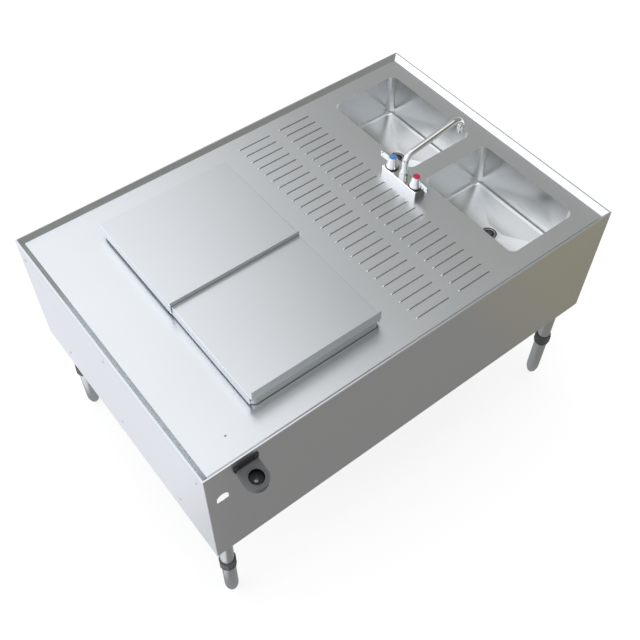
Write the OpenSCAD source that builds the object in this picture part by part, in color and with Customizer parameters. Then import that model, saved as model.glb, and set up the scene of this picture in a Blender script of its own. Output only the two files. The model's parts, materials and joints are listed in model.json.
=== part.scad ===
/* [Cabinet] */
// Width over the end panels
unit_w = 1371.6; // [1340:0.1:1500]
// Depth over the front and back panels
unit_d = 921.8; // [915:0.1:1000]
// Height of the rim above the floor, with the feet wound in
unit_h = 801.9; // [780:0.1:900]
// Height of the skirt, rim included
skirt_h = 412.4; // [400:0.1:450]
// Thickness of the stainless sheet
sheet = 1.2; // [1:0.1:1.5]
// Thickness of the steel rails and stiffeners
rail_t = 2; // [1.5:0.1:3]
// Depth of the hem folded inwards along the bottom of each panel
hem_w = 15; // [10:1:20]
// Width of the flanges that the front and back panels turn inwards at their ends
return_w = 50; // [42:1:60]
// Depth to which those flanges reach below the rim
return_h = 300; // [200:1:315]

/* [Deck rim] */
// Width of the flat along the top of the rim
rim_flat = 4; // [3:0.5:6]
// Thickness of the folded edge of the rim, which stands on the panels
rim_edge = 2.4; // [2:0.1:3]
// Depth of the deck below the top of the rim
rim_drop = 15; // [12:0.5:20]
// Width of the slope inside the rim at the left and right ends
rim_run_x = 15; // [8:0.5:20]
// Width of the slope inside the rim at the front and back
rim_run_y = 11; // [6:0.5:16]

/* [Drain ribs] */
// Number of ribs in each column
rib_count = 25; // [2:1:26]
// Distance of the first rib from the front
rib_front = 62.5; // [35:0.5:75]
// Distance of the last rib from the back
rib_back = 64.3; // [35:0.1:80]
// Length of a rib
rib_l = 115.3; // [60:0.1:135]
// Width of a rib
rib_w = 4; // [3:0.1:6]
// Height of a rib
rib_h = 1.2; // [0.8:0.1:1.6]
// Distance from the middle of one column to the middle of the other
rib_column_apart = 148.5; // [140:0.1:150]
// Gap between the right column of ribs and the faucet's pedestal
rib_faucet_gap = 16.95; // [10:0.05:40]

/* [Deck stiffeners] */
// Width of a hat-shaped stiffener over its flanges
hat_w = 60; // [50:1:80]
// Width of the trough of a stiffener
hat_trough = 30; // [20:1:40]
// Height of a stiffener
hat_h = 25; // [15:1:40]
// Gap between a stiffener's ends and the panels
hat_end = 40; // [20:1:60]

/* [Ice bin] */
// Distance of the middle of the bin from the left end
bin_x = 405.6; // [400:0.1:420]
// Distance of the bin's collar from the front of the unit
bin_front_gap = 101.7; // [90:0.1:115]
// Distance of the bin's collar from the back of the unit
bin_back_gap = 119.1; // [105:0.1:135]
// Width of the collar over its outer faces
collar_w = 397.6; // [380:0.1:400]
// Height of the collar above the deck
collar_h = 27; // [20:0.5:28]
// Width of the flat on top of the collar
collar_flat = 14; // [10:0.5:20]
// Plan radius of the collar's corners
collar_r = 18; // [12:1:30]
// Plan radius of the corners of the bin
bin_r = 24; // [20:1:30]
// Depth of the bin from the top of the collar to its floor
bin_deep = 305; // [250:1:310]
// Radius between the walls and the floor of the bin
bin_cove = 12; // [8:1:20]
// Thickness of the foam round the bin
foam_t = 35; // [20:1:40]
// Radius of the foam's upright edges
foam_r = 10; // [6:1:20]
// Gap between the deck's cut-out and the wall of the bin
bin_cut_gap = 2; // [1:0.5:3]

/* [Bin drain] */
// Radius of the flange of the bin drain
bin_drain_r = 24; // [20:0.5:30]
// Thickness of the flange of the bin drain
bin_drain_t = 1.5; // [1:0.1:3]
// Outer radius of the threaded body of the bin drain
bin_body_r = 16; // [15:0.1:18]
// Bore radius of the bin drain
bin_bore_r = 11.5; // [8:0.1:12.5]
// Outer radius of the bin tailpiece
bin_tail_r = 13.35; // [12.8:0.05:13.5]
// Wall of the bin tailpiece
bin_tail_wall = 1.6; // [1:0.1:2.5]
// Length of body below the shell of the bin
bin_body_below = 28; // [24:1:35]
// Depth to which the bin tailpiece enters the body
bin_tail_in = 14; // [8:1:18]
// Length of the bin tailpiece below the body
bin_tail_out = 28; // [15:1:40]
// Corner radius of the nut on the bin drain
bin_nut_r = 25; // [22:0.5:32]
// Height of the nut on the bin drain
bin_nut_h = 8; // [6:0.5:12]

/* [Lids] */
// Height of the front lid's top above the deck
front_top = 40.2; // [39:0.1:44]
// Gap between the top of the front lid and the underside of the rear lid
lid_gap = 2.1; // [1:0.1:3]
// Distance to which the lids reach past the collar, at the front and at the back
lid_over = 1.7; // [1.5:0.1:4]
// Length by which the closed rear lid covers the front one
lid_overlap = 27.6; // [20:0.2:36]
// Length of the rear lid, front to back
rear_lid_l = 357; // [340:0.5:370]
// Gap between the front lid's glide strips and the collar, and between the rear lid's and the front lid
glide_gap = 0.3; // [0.2:0.05:0.5]
// Thickness of a glide strip
glide_t = 1.4; // [1:0.1:2]
// Gap under the glide strips
glide_lift = 0.2; // [0.1:0.05:0.4]
// Height of glide strip that is fixed to a lid's side flange
glide_grip = 8; // [5:0.5:10]
// Height of the front lid's side flanges above the deck
front_flange_gap = 7.5; // [5:0.5:12]
// Height of the rear lid's side flanges above the deck
rear_flange_gap = 11.5; // [8:0.5:16]
// Height of the front strip's lower edge above the deck
strip_bottom = 30; // [29:0.5:33]
// Height of the front strip's upper edge above the deck
strip_top = 64; // [50:0.5:75]
// Distance of the strip's ends from the lid's side faces
strip_inset = 3; // [1.5:0.5:6]
// Length of the notch between the strip and each side flange
strip_notch = 7; // [3:0.5:10]
// Height of the rear lid's front strip above its top
rear_strip_h = 11; // [6:0.1:15]
// Depth of the rear lid's front strip below its underside
rear_strip_hang = 1; // [0.2:0.1:1.2]
// Depth of the rear lid's back flange below its top
rear_flange_h = 14.5; // [5:0.5:15]

/* [Sink bowls] */
// Distance of the right sides of the bowls' openings from the left end
bowl_right_x = 1297.7; // [1290:0.1:1310]
// Distance of the front bowl's opening from the front of the unit
bowl_front_gap = 68.3; // [60:0.1:80]
// Distance of the rear bowl's opening from the back of the unit
bowl_back_gap = 73; // [62:0.5:85]
// Distance from one bowl's opening to the other's
bowl_divider = 58.5; // [48:0.5:70]
// Width of a bowl's opening
bowl_w = 248; // [230:1:255]
// Depth of a bowl at its walls, below the deck
bowl_deep = 148; // [120:1:200]
// Fall of a bowl's floor from its walls to the drain
bowl_fall = 8; // [4:0.5:15]
// Plan radius of a bowl's corners
bowl_r = 22; // [18:1:40]
// Radius between a bowl's walls and its floor
bowl_cove = 12; // [8:1:16]
// Width of the flange that joins a bowl to the deck
bowl_flange = 12; // [8:1:14]
// Width of the flat round the drain at the lowest point
bowl_flat = 58; // [56:1:70]

/* [Bowl drains] */
// Radius of a drain's flange
drain_r = 25; // [22:0.5:27]
// Thickness of a drain's flange
drain_t = 2.2; // [1.5:0.1:3]
// Outer radius of a drain's threaded body
drain_body_r = 19.5; // [18.6:0.1:20.5]
// Length of a drain's body below the bowl's floor
drain_body_h = 34; // [30:1:45]
// Radius of the seat that the grid lies in
grid_seat_r = 17; // [15.5:0.1:18]
// Depth from the top of the flange to the grid
grid_sunk = 1.5; // [0.5:0.1:2.5]
// Thickness of the grid
grid_t = 2; // [1:0.1:3]
// Radius of a hole in the grid
grid_hole_r = 2.2; // [1.5:0.1:2.5]
// Radius of the grid's inner ring of holes
grid_ring_in = 6.4; // [6:0.1:7]
// Radius of the grid's outer ring of holes
grid_ring_out = 12.4; // [12:0.1:12.8]
// Outer radius of a tailpiece
tail_r = 15.9; // [15:0.1:16.5]
// Wall of a tailpiece
tail_wall = 1.2; // [1:0.1:2]
// Depth to which a tailpiece enters the drain's body
tail_in = 15; // [10:1:18]
// Length of a tailpiece below the drain's body
tail_out = 95; // [60:1:140]
// Outer radius of a drain's rubber gasket
gasket_r = 27; // [26:0.5:28]
// Thickness of a drain's rubber gasket
gasket_t = 3; // [2:0.5:4]
// Corner radius of a drain's nut
drain_nut_r = 31; // [28:0.5:36]
// Height of a drain's nut
drain_nut_h = 9; // [6:0.5:11]

/* [Faucet] */
// Distance between the pedestal and the bowls' openings, left to right
faucet_bowl_gap = 34.4; // [25:0.1:45]
// Distance of the faucet's middle in front of the middle of the unit
faucet_off = 3.9; // [0:0.1:8]
// Distance between the axes of the two handles
handle_apart = 101.6; // [98:0.1:110]
// Width of the pedestal
pedestal_w = 41; // [38:0.5:50]
// Length of the pedestal
pedestal_l = 146; // [142:1:160]
// Height of the pedestal above the deck
pedestal_h = 26; // [22:0.5:35]
// Wall of the pedestal
pedestal_wall = 3; // [2:0.5:3.5]
// Radius of the pedestal's upright edges
pedestal_r = 4; // [3.6:0.1:10]
// Width of the slope along the pedestal's top edges
pedestal_bevel = 2; // [1:0.5:2.5]
// Radius of a valve's threaded shank
shank_r = 10.4; // [9:0.1:10.8]
// Length of a valve's shank below the deck's top
shank_h = 52; // [40:1:70]
// Radius of the deck's hole for a shank
shank_hole_r = 11.5; // [11:0.1:12]
// Radius of the water way in a shank
shank_bore_r = 6; // [4:0.1:7]
// Corner radius of a valve's hexagonal body
valve_hex_r = 15; // [13.5:0.1:16]
// Height of a valve's hexagonal body
valve_hex_h = 18; // [12:0.5:19]
// Radius of a valve's neck
valve_neck_r = 11.8; // [8:0.1:12.6]
// Height of a valve's neck above the pedestal
valve_neck_out = 2; // [1:0.1:2.2]
// Corner radius of the nut on a shank
shank_nut_r = 18; // [15:0.5:20]
// Height of the nut on a shank
shank_nut_h = 9; // [6:0.5:12]
// Radius of a valve's stem
stem_r = 4; // [3:0.1:5]
// Depth of the stem inside the valve
stem_in = 20; // [10:1:24]
// Height of the black ring under a handle
ring_h = 2.2; // [1.2:0.1:3]
// Gap between the black ring and the handle
ring_gap = 0.3; // [0.2:0.05:0.5]
// Radius of the foot of a handle
hub_r = 18.5; // [16:0.1:19.5]
// Radius of the top of a handle
hub_top_r = 11.6; // [10.8:0.1:14]
// Height of a handle's hub
hub_h = 35; // [30:0.5:45]
// Height of a handle's straight foot
hub_foot = 3; // [1:0.5:6]
// Depth of the stem's socket in a handle
hub_socket = 22; // [12:1:26]
// Reach of a handle's blade from its axis
blade_reach = 49; // [40:0.5:60]
// Thickness of a blade
blade_t = 5; // [3:0.5:7]
// Height of a blade's lower edge above the foot of the handle
blade_bottom = 8; // [4:0.5:12]
// Height of a blade at its tip
blade_tip_h = 19.5; // [12:0.5:24]
// Height of a blade at the hub
blade_root_h = 23; // [16:0.5:26]
// Radius of an index button
button_r = 10; // [8:0.1:10.4]
// Thickness of an index button
button_h = 3.4; // [2:0.1:5]
// Depth of an index button's seat
button_seat = 1.4; // [0.6:0.1:1.8]

/* [Spout] */
// Outer radius of the spout's tube
spout_r = 9.5; // [8.6:0.1:10]
// Wall of the spout's tube
spout_wall = 1.3; // [0.8:0.1:1.6]
// Thinning of the tube's wall on each face where it is bent
bend_thin = 0.05; // [0.04:0.01:0.1]
// Reach of the spout from its axis to the outlet
spout_reach = 214.5; // [160:0.5:300]
// Height of the first bend's start above the deck
bend_start = 69.6; // [60:0.1:100]
// Radius of the first bend
bend_r = 30; // [24:0.5:45]
// Radius of the bend above the outlet
outlet_bend_r = 22; // [16:0.5:30]
// Rise of the arm in degrees
arm_rise = 14.5; // [5:0.5:30]
// Radius of the spigot that turns in the pedestal
spigot_r = 7.9; // [7:0.1:8.4]
// Depth of the spigot below the top of the pedestal
spigot_h = 20; // [12:1:22]
// Outer radius of the boss round the spigot
boss_r = 11; // [10.2:0.1:14]
// Radius of the spout's nut
spout_nut_r = 14; // [12:0.5:18]
// Height of the spout's nut
spout_nut_h = 18; // [12:0.5:22]
// Radius of the spout's flared foot
spout_foot_r = 12.5; // [11:0.1:13.5]
// Height of the flared foot
spout_foot_h = 14; // [8:0.5:16]
// Height of the aerator's lower end above the deck
aerator_z = 76.5; // [60:0.5:95]
// Radius of the aerator
aerator_r = 11.8; // [11:0.1:14]
// Height of the aerator
aerator_h = 17; // [12:0.5:22]
// Bore radius of the aerator
aerator_bore_r = 7.5; // [5:0.1:8]
// Depth of tube inside the aerator
aerator_grip = 10; // [6:0.5:11]

/* [Dispenser holster] */
// Distance of the holster's middle from the left end
holster_x = 115; // [90:0.5:200]
// Width of the holster's plate
plate_w = 72; // [68:1:90]
// Depth of the plate's upper edge below the rim
plate_top = 19; // [17:0.5:30]
// Height of the plate
plate_h = 62; // [55:1:80]
// Thickness of the plate
plate_t = 3; // [2:0.5:5]
// Distance of the cup's middle from the front panel
cup_out = 40; // [38:0.5:60]
// Depth of the middle of the cup's top below the rim
cup_top = 46; // [44:0.5:55]
// Sideways distance of the cup's middle from the plate's middle
cup_side = 2; // [0:0.5:3]
// Outer radius of the cup
cup_r = 31; // [28:0.5:33]
// Bore radius of the cup
cup_bore_r = 19.5; // [16:0.5:22]
// Height of the cup's side
cup_h = 24; // [20:0.5:30]
// Thickness of the cup's floor
cup_floor = 4; // [3:0.5:6]
// Radius of the ridge round the cup's bore
cup_ridge_r = 23.5; // [22.5:0.5:26]
// Height of that ridge
cup_ridge_h = 1; // [0.5:0.1:2]
// Tilt of the cup in degrees
cup_tilt = 10; // [4:0.5:12]
// Outer radius of the drip outlet under the cup
outlet_r = 13; // [8:0.5:16]
// Length of the drip outlet
outlet_h = 13; // [6:0.5:20]
// Bore radius of the drip outlet
outlet_bore_r = 6; // [3:0.5:7]
// Distance of the holster's screws from the plate's middle
plate_screw_x = 27; // [20:0.5:30]
// Depth of the holster's screws below the plate's upper edge
plate_screw_z = 8; // [5:0.5:12]

/* [Openings in panel and deck] */
// Distance of the hose hole's middle from the left end
hose_x = 43.5; // [30:0.5:65]
// Half the width of the hose hole
hose_r = 16.75; // [12:0.25:20]
// Depth of the middle of the hose hole's round top below the rim
hose_z = 123.5; // [100:0.5:150]
// Depth of the hose hole's flat edge below that middle
hose_flat = 15.2; // [10:0.1:20]
// Distance of the small deck hole from the left end
small_hole_x = 112.8; // [60:0.1:150]
// Distance of the small deck hole from the front
small_hole_y = 76.8; // [50:0.1:76.8]
// Radius of the small deck hole
small_hole_r = 3; // [2:0.1:5]

/* [Legs] */
// Distance of a leg's axis from the end panel's outer face
leg_x = 47.9; // [42:0.1:60]
// Distance of a leg's axis from the front or back panel's outer face
leg_y = 47.5; // [42:0.1:60]
// Outer radius of a leg's tube
leg_r = 20.65; // [18:0.05:21]
// Wall of a leg's tube
leg_wall = 1.6; // [1:0.1:2.5]
// Depth of the leg rails' lower face below the rim
leg_rail_z = 382; // [370:0.5:384]
// Width of a leg rail
leg_rail_w = 76; // [76:0.5:100]
// Height of a leg rail's upright flange
leg_rail_h = 52; // [48:1:60]
// Wall of a leg socket
socket_wall = 4; // [3:0.5:5]
// Height of a leg socket
socket_h = 60; // [50:1:66]
// Width of the square flange under a leg socket
socket_flange = 54; // [52:1:56]
// Thickness of the socket's flange and of its closed top
socket_t = 3; // [2:0.5:4]
// Depth of the collar's upper edge below the rim
collar_z = 582; // [560:1:620]
// Height of a leg collar
leg_collar_h = 43; // [40:1:55]
// Radius of a leg collar's round upper edge
leg_collar_r = 24.4; // [23:0.1:27]
// Corner radius of a leg collar's hexagon
leg_hex_r = 26; // [25:0.1:30]
// Height of the round upper edge
leg_collar_top = 10; // [6:0.5:14]
// Height of the sloped lower edge
leg_collar_foot = 7; // [4:0.5:9]
// Depth of tube inside the collar
leg_grip = 25; // [15:1:30]
// Radius of the stem of an adjustable foot
foot_stem_r = 13; // [9:0.1:14]
// Length of stem that stays above the collar when the foot is wound out
foot_stem_spare = 2; // [1:1:12]
// Travel of an adjustable foot
foot_travel = 25; // [10:1:30]
// Outer radius of the foot's sleeve
foot_r = 20.65; // [18:0.05:21.4]
// Wall of the foot's sleeve
foot_wall = 1.5; // [1:0.1:2.5]
// Height of the foot's tapered end
foot_taper = 47; // [35:1:60]
// Radius of the foot's flat tip
foot_tip_r = 8.5; // [6:0.1:12]

/* [Screws] */
// Shank radius of a panel screw
screw_r = 2.4; // [1.8:0.1:2.6]
// Head radius of a panel screw
screw_head_r = 5; // [4:0.1:6]
// Head height of a panel screw
screw_head_h = 2.2; // [1.5:0.1:3]
// Length of a panel screw's shank
screw_l = 9; // [8:0.5:12]
// Distance of the end screws from the front and back, upper row
screw_top_y = 35; // [28:0.5:36]
// Depth of the upper row of screws below the rim
screw_top_z = 54; // [45:0.5:60]
// Distance of the end screws from the unit's middle, lower row
screw_low_y = 297; // [250:0.5:320]
// Depth of the lower row of screws below the rim
screw_low_z = 345; // [343:0.5:355]
// Width of the angle rail under each end of the deck
end_rail_w = 45; // [30:1:60]
// Height of that rail's upright flange
end_rail_h = 52; // [50:1:70]
// Radius of a leg's set screw
set_screw_r = 4; // [3:0.1:5]
// Length of a leg's set screw
set_screw_l = 9; // [7:0.5:12]

/* [Fits] */
// Gap round a screw, a drain or a valve's neck in its hole
hole_gap = 0.15; // [0.1:0.01:0.3]
// Gap round a tube, a nut's thread or a disc that slips into its seat
slip_gap = 0.1; // [0.05:0.01:0.15]
// Gap round a stem or a spigot that turns
turn_gap = 0.05; // [0.02:0.01:0.08]
// Gap round the stem of an adjustable foot
foot_gap = 0.08; // [0.05:0.01:0.1]
// Depth to which a tailpiece's upper end and a shank's lower end are turned down
turned_down = 0.3; // [0.2:0.05:0.5]
// Gap between a body or nut and the step where a tube's turned-down end begins or stops
turned_gap = 1; // [0.5:0.1:2]

/* [Hidden] */
$fn = 64;

// Colours of the materials
STEEL = "gainsboro";
LID_STEEL = "lightsteelblue";
CHROME = "whitesmoke";
BRASS = "goldenrod";
GALVANISED = "darkgray";
DARK_PLASTIC = "dimgray";
BLACK = "black";

// Sides of a hexagon
HEX = 6;
// Overshoot of a cutting body
cut = sheet;
// Furthest point of the unit in front of its front panel
front_reach = cup_out + cup_r * cos(cup_tilt);
// Heights below the rim's top
deck_z = -rim_drop;
under_z = deck_z - sheet;
skirt_z = -skirt_h;
// Distance to which one panel's hem stops short of the corner
hem_start = hem_w + 2 * sheet;
// Radius of a rib's bead, and the depth of its centre under the deck's top
rib_r = (rib_w * rib_w / 4 + rib_h * rib_h) / (2 * rib_h);
rib_sunk = rib_r - rib_h;
// Distance from one rib to the next
rib_pitch = (unit_d - rib_front - rib_back) / (rib_count - 1);
// Length of the bin's collar over its outer faces, and its middle
collar_l = unit_d - bin_front_gap - bin_back_gap;
bin_y = bin_front_gap + collar_l / 2;
// Places of the lids from the front of the unit, and the front lid's length
front_lid_y = bin_front_gap - lid_over;
front_lid_l = collar_l + 2 * lid_over + lid_overlap - rear_lid_l;
rear_lid_y = front_lid_y + front_lid_l - lid_overlap;
// Length of a bowl's opening, front to back, and the bowls' middles
bowl_x = bowl_right_x - bowl_w / 2;
bowl_l = (unit_d - bowl_front_gap - bowl_back_gap - bowl_divider) / 2;
bowl_front_y = bowl_front_gap + bowl_l / 2;
bowl_apart = bowl_l + bowl_divider;
// Faucet's middle, from the left end and from the front of the unit
faucet_x = bowl_x - bowl_w / 2 - faucet_bowl_gap - pedestal_w / 2;
faucet_y = unit_d / 2 - faucet_off;
// Distance of the middle of the left column of ribs from the left end
rib_left_x = faucet_x - pedestal_w / 2 - rib_faucet_gap - rib_l / 2 - rib_column_apart;
// Sizes of the bin's opening, wall to wall inside
bin_w = collar_w - 2 * collar_flat;
bin_l = collar_l - 2 * collar_flat;
collar_z_top = deck_z + collar_h;
bin_floor_z = collar_z_top - bin_deep;
// Sizes of the hole in the deck round the bin
bin_cut_w = bin_w + 2 * sheet + 2 * bin_cut_gap;
bin_cut_l = bin_l + 2 * sheet + 2 * bin_cut_gap;
bin_cut_r = bin_r + sheet + bin_cut_gap;
// Outer size of the foam
foam_w = bin_w + 2 * sheet + 2 * foam_t;
foam_l = bin_l + 2 * sheet + 2 * foam_t;
foam_bottom_z = bin_floor_z - sheet - foam_t;
shell_bottom_z = foam_bottom_z - sheet;
// Places of the lids' side faces, measured from the bin's middle
front_glide_x = collar_w / 2 + glide_gap;
front_flange_x = front_glide_x + glide_t;
rear_glide_x = front_flange_x + sheet + glide_gap;
rear_flange_x = rear_glide_x + glide_t;
// Distance of the glide strips' ends from the lids' ends, past the collar's round corners
glide_end = lid_over + collar_r + glide_gap;
rear_top = front_top + lid_gap + sheet;
// Heights of a bowl's floor, at its walls and at the drain
bowl_floor_z = deck_z - bowl_deep;
bowl_low_z = bowl_floor_z - bowl_fall;
// Faucet heights
pedestal_z = deck_z + pedestal_h;
hub_z = pedestal_z + ring_h + ring_gap;
neck_z = pedestal_z + valve_neck_out;
stem_top_z = hub_z + hub_socket;
spout_foot_z = pedestal_z + spout_nut_h + ring_gap;
bend_z = deck_z + bend_start;
outlet_z = deck_z + aerator_z;
// Spout points in its own plane, from its axis
bend_end_x = bend_r * (1 - sin(arm_rise));
bend_end_z = bend_z + bend_r * cos(arm_rise);
arm_end_x = spout_reach - outlet_bend_r * (1 + sin(arm_rise));
arm_l = (arm_end_x - bend_end_x) / cos(arm_rise);
arm_end_z = bend_end_z + arm_l * sin(arm_rise);
drop_z = arm_end_z - outlet_bend_r * cos(arm_rise);
// Length by which a straight stretch of the spout laps over a bend
tube_lap = 4 * bend_thin;
// Leg heights
rail_z = -leg_rail_z;
socket_z = rail_z + rail_t;
tube_top_z = socket_z + socket_h - socket_t;
leg_collar_z = -collar_z - leg_collar_h;
tube_bottom_z = -collar_z - leg_grip;
floor_z = -unit_h;
// Length of a foot's stem above its sleeve
foot_stem_h = leg_collar_h + foot_travel + foot_stem_spare;
// Radius of the arc that forms a foot's tapered end
foot_narrowing = foot_r - foot_tip_r;
foot_arc = (pow(foot_narrowing, 2) + pow(foot_taper, 2)) / (2 * foot_narrowing);

// Sets the origin below the middle of the unit, on the floor
module placed() {
    translate([-unit_w / 2, (front_reach - unit_d) / 2, unit_h])
        children();
}

// The same thing at the other end of the unit
module at_right_end() {
    translate([unit_w, 0, 0])
        mirror([1, 0, 0])
            children();
}

// The same thing at the back of the unit
module at_back() {
    translate([0, unit_d, 0])
        mirror([0, 1, 0])
            children();
}

// A rectangle with round corners
module rounded_plate(w, l, r) {
    square([w - 2 * r, l], center = true);
    square([w, l - 2 * r], center = true);
    for (sx = [-1, 1], sy = [-1, 1])
        translate([sx * (w / 2 - r), sy * (l / 2 - r)])
            circle(r);
}

module rounded_block(w, l, h, r) {
    linear_extrude(h)
        rounded_plate(w, l, r);
}

// Section through a pan: square at the top, coved where walls meet floor
module pan_section(w, h, cove) {
    translate([-w / 2, cove])
        square([w, h - cove]);
    translate([cove - w / 2, 0])
        square([w - 2 * cove, h]);
    for (side = [-1, 1])
        translate([side * (w / 2 - cove), cove])
            circle(cove);
}

// A solid with the outline of a pan, standing on z = 0
module pan(w, l, h, r, cove) {
    rotate([90, 0, 0])
        linear_extrude(l - 2 * r, center = true)
            pan_section(w, h, cove);
    rotate([90, 0, 90])
        linear_extrude(w - 2 * r, center = true)
            pan_section(l, h, cove);
    for (sx = [-1, 1], sy = [-1, 1])
        translate([sx * (w / 2 - r), sy * (l / 2 - r), 0])
            rotate_extrude()
                intersection() {
                    pan_section(2 * r, h, cove);
                    square([r, h]);
                }
}

// Side view of a frustum
module trapezoid(bottom, top, h) {
    polygon([[-bottom / 2, 0], [bottom / 2, 0], [top / 2, h], [-top / 2, h]]);
}

// A rectangle at z = 0 that runs into another one at z = h
module frustum(bottom, top, h) {
    intersection() {
        rotate([90, 0, 0])
            linear_extrude(max(bottom.y, top.y) + cut, center = true)
                trapezoid(bottom.x, top.x, h);
        rotate([90, 0, 90])
            linear_extrude(max(bottom.x, top.x) + cut, center = true)
                trapezoid(bottom.y, top.y, h);
    }
}

module ring(r_out, r_in, h) {
    difference() {
        cylinder(h = h, r = r_out);
        translate([0, 0, -cut])
            cylinder(h = h + 2 * cut, r = r_in);
    }
}

// A standing tube whose upper end is turned down where it enters a body
module stepped_tube(r, wall, inside, outside) {
    difference() {
        union() {
            cylinder(h = outside - turned_gap, r = r);
            cylinder(h = outside + inside, r = r - turned_down);
        }
        translate([0, 0, -cut])
            cylinder(h = outside + inside + 2 * cut, r = r - wall);
    }
}

module hex_nut(r_out, r_in, h) {
    difference() {
        cylinder(h = h, r = r_out, $fn = HEX);
        translate([0, 0, -cut])
            cylinder(h = h + 2 * cut, r = r_in);
    }
}

// A screw along +Z, its head above z = 0 and its shank below
module screw() {
    cylinder(h = screw_head_h, r1 = screw_head_r, r2 = screw_head_r / 2);
    translate([0, 0, -screw_l])
        cylinder(h = screw_l, r = screw_r);
}

// Deck

// Outline of the deck's rim and sloping sides, as one solid under the sheet's outer face
module rim_outline(run_to_outer_x, run_to_outer_y, z_low, z_high) {
    function inset(run, shift, z) = rim_flat - run * z / rim_drop - shift;
    low = [unit_w - 2 * inset(rim_run_x, run_to_outer_x, z_low),
           unit_d - 2 * inset(rim_run_y, run_to_outer_y, z_low)];
    high = [unit_w - 2 * inset(rim_run_x, run_to_outer_x, z_high),
            unit_d - 2 * inset(rim_run_y, run_to_outer_y, z_high)];
    translate([unit_w / 2, unit_d / 2, z_low])
        frustum(low, high, z_high - z_low);
}

// Width that the sloping sheet takes up, measured level
function level_width(run) = sheet * sqrt(1 + pow(run / rim_drop, 2));

module rib_beads(r, l) {
    for (column = [0, 1], row = [0 : rib_count - 1])
        translate([rib_left_x + column * rib_column_apart, rib_front + row * rib_pitch, deck_z - rib_sunk])
            rotate([0, 90, 0])
                cylinder(h = l, r = r, center = true);
}

module at_bowl(rear) {
    translate([bowl_x, bowl_front_y + (rear ? bowl_apart : 0), 0])
        children();
}

module at_bin() {
    translate([bin_x, bin_y, 0])
        children();
}

module at_valve(cold) {
    translate([faucet_x, faucet_y + (cold ? 1 : -1) * handle_apart / 2, 0])
        children();
}

module deck_holes() {
    at_bin()
        translate([0, 0, under_z - cut])
            rounded_block(bin_cut_w, bin_cut_l, sheet + 2 * cut, bin_cut_r);
    for (rear = [false, true])
        at_bowl(rear)
            translate([0, 0, under_z - cut])
                rounded_block(bowl_w, bowl_l, sheet + 2 * cut, bowl_r);
    for (cold = [false, true])
        at_valve(cold)
            translate([0, 0, under_z - cut])
                cylinder(h = sheet + 2 * cut, r = shank_hole_r);
    translate([small_hole_x, small_hole_y, under_z - cut])
        cylinder(h = sheet + 2 * cut, r = small_hole_r);
}

module deck_top() {
    color(STEEL)
        placed()
            difference() {
                union() {
                    difference() {
                        union() {
                            translate([0, 0, -rim_edge])
                                cube([unit_w, unit_d, rim_edge]);
                            rim_outline(level_width(rim_run_x), level_width(rim_run_y), under_z, 0);
                        }
                        rim_outline(0, 0, deck_z, cut);
                    }
                    intersection() {
                        rib_beads(rib_r, rib_l);
                        translate([0, 0, deck_z - sheet / 2])
                            cube([unit_w, unit_d, rim_drop]);
                    }
                }
                rib_beads(rib_r - sheet, rib_l - 2 * sheet);
                deck_holes();
            }
}

// Skirt

// A panel along the front, with its hem and the flanges at its ends
module long_panel() {
    translate([sheet, 0, skirt_z])
        cube([unit_w - 2 * sheet, sheet, skirt_h - rim_edge]);
    translate([hem_start, 0, skirt_z])
        cube([unit_w - 2 * hem_start, hem_w, sheet]);
    for (x = [sheet, unit_w - 2 * sheet])
        translate([x, 0, -return_h])
            cube([sheet, return_w, return_h - rim_edge]);
}

// Moves its children to each of the six screws of the left end panel, axis outwards
module at_end_screws() {
    for (y = [screw_top_y, unit_d / 2, unit_d - screw_top_y])
        translate([0, y, -screw_top_z])
            rotate([0, -90, 0])
                children();
    for (y = [-screw_low_y, 0, screw_low_y])
        translate([0, unit_d / 2 + y, -screw_low_z])
            rotate([0, -90, 0])
                children();
}

module screw_clearance() {
    translate([0, 0, -screw_l])
        cylinder(h = screw_l + cut, r = screw_r + hole_gap);
}

module hose_hole() {
    translate([hose_x, 0, -hose_z])
        rotate([90, 0, 0]) {
            cylinder(h = 4 * cut, r = hose_r, center = true);
            translate([-hose_r, -hose_flat, -2 * cut])
                cube([2 * hose_r, hose_flat, 4 * cut]);
        }
}

module at_plate_screws() {
    for (side = [-1, 1])
        translate([holster_x + side * plate_screw_x, -plate_t, -plate_top - plate_screw_z])
            rotate([90, 0, 0])
                children();
}

module front_panel() {
    color(STEEL)
        placed()
            difference() {
                long_panel();
                hose_hole();
                at_end_screws()
                    screw_clearance();
                at_right_end()
                    at_end_screws()
                        screw_clearance();
                at_plate_screws()
                    screw_clearance();
            }
}

module back_panel() {
    color(STEEL)
        placed()
            difference() {
                at_back()
                    long_panel();
                at_end_screws()
                    screw_clearance();
                at_right_end()
                    at_end_screws()
                        screw_clearance();
            }
}

module end_panel() {
    difference() {
        union() {
            translate([0, 0, skirt_z])
                cube([sheet, unit_d, skirt_h - rim_edge]);
            translate([0, hem_start, skirt_z])
                cube([hem_w, unit_d - 2 * hem_start, sheet]);
        }
        at_end_screws()
            screw_clearance();
    }
}

module end_panel_left() {
    color(STEEL)
        placed()
            end_panel();
}

module end_panel_right() {
    color(STEEL)
        placed()
            at_right_end()
                end_panel();
}

// An angle rail under the end of the deck, clear of the panels' flanges
module end_rail() {
    rail_l = unit_d - 2 * (return_w + sheet);
    difference() {
        translate([sheet, return_w + sheet, under_z - end_rail_h])
            cube([rail_t, rail_l, end_rail_h]);
        at_end_screws()
            screw_clearance();
    }
    translate([sheet, return_w + sheet, under_z - rail_t])
        cube([end_rail_w, rail_l, rail_t]);
}

module end_rail_left() {
    color(GALVANISED)
        placed()
            end_rail();
}

module end_rail_right() {
    color(GALVANISED)
        placed()
            at_right_end()
                end_rail();
}

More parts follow.
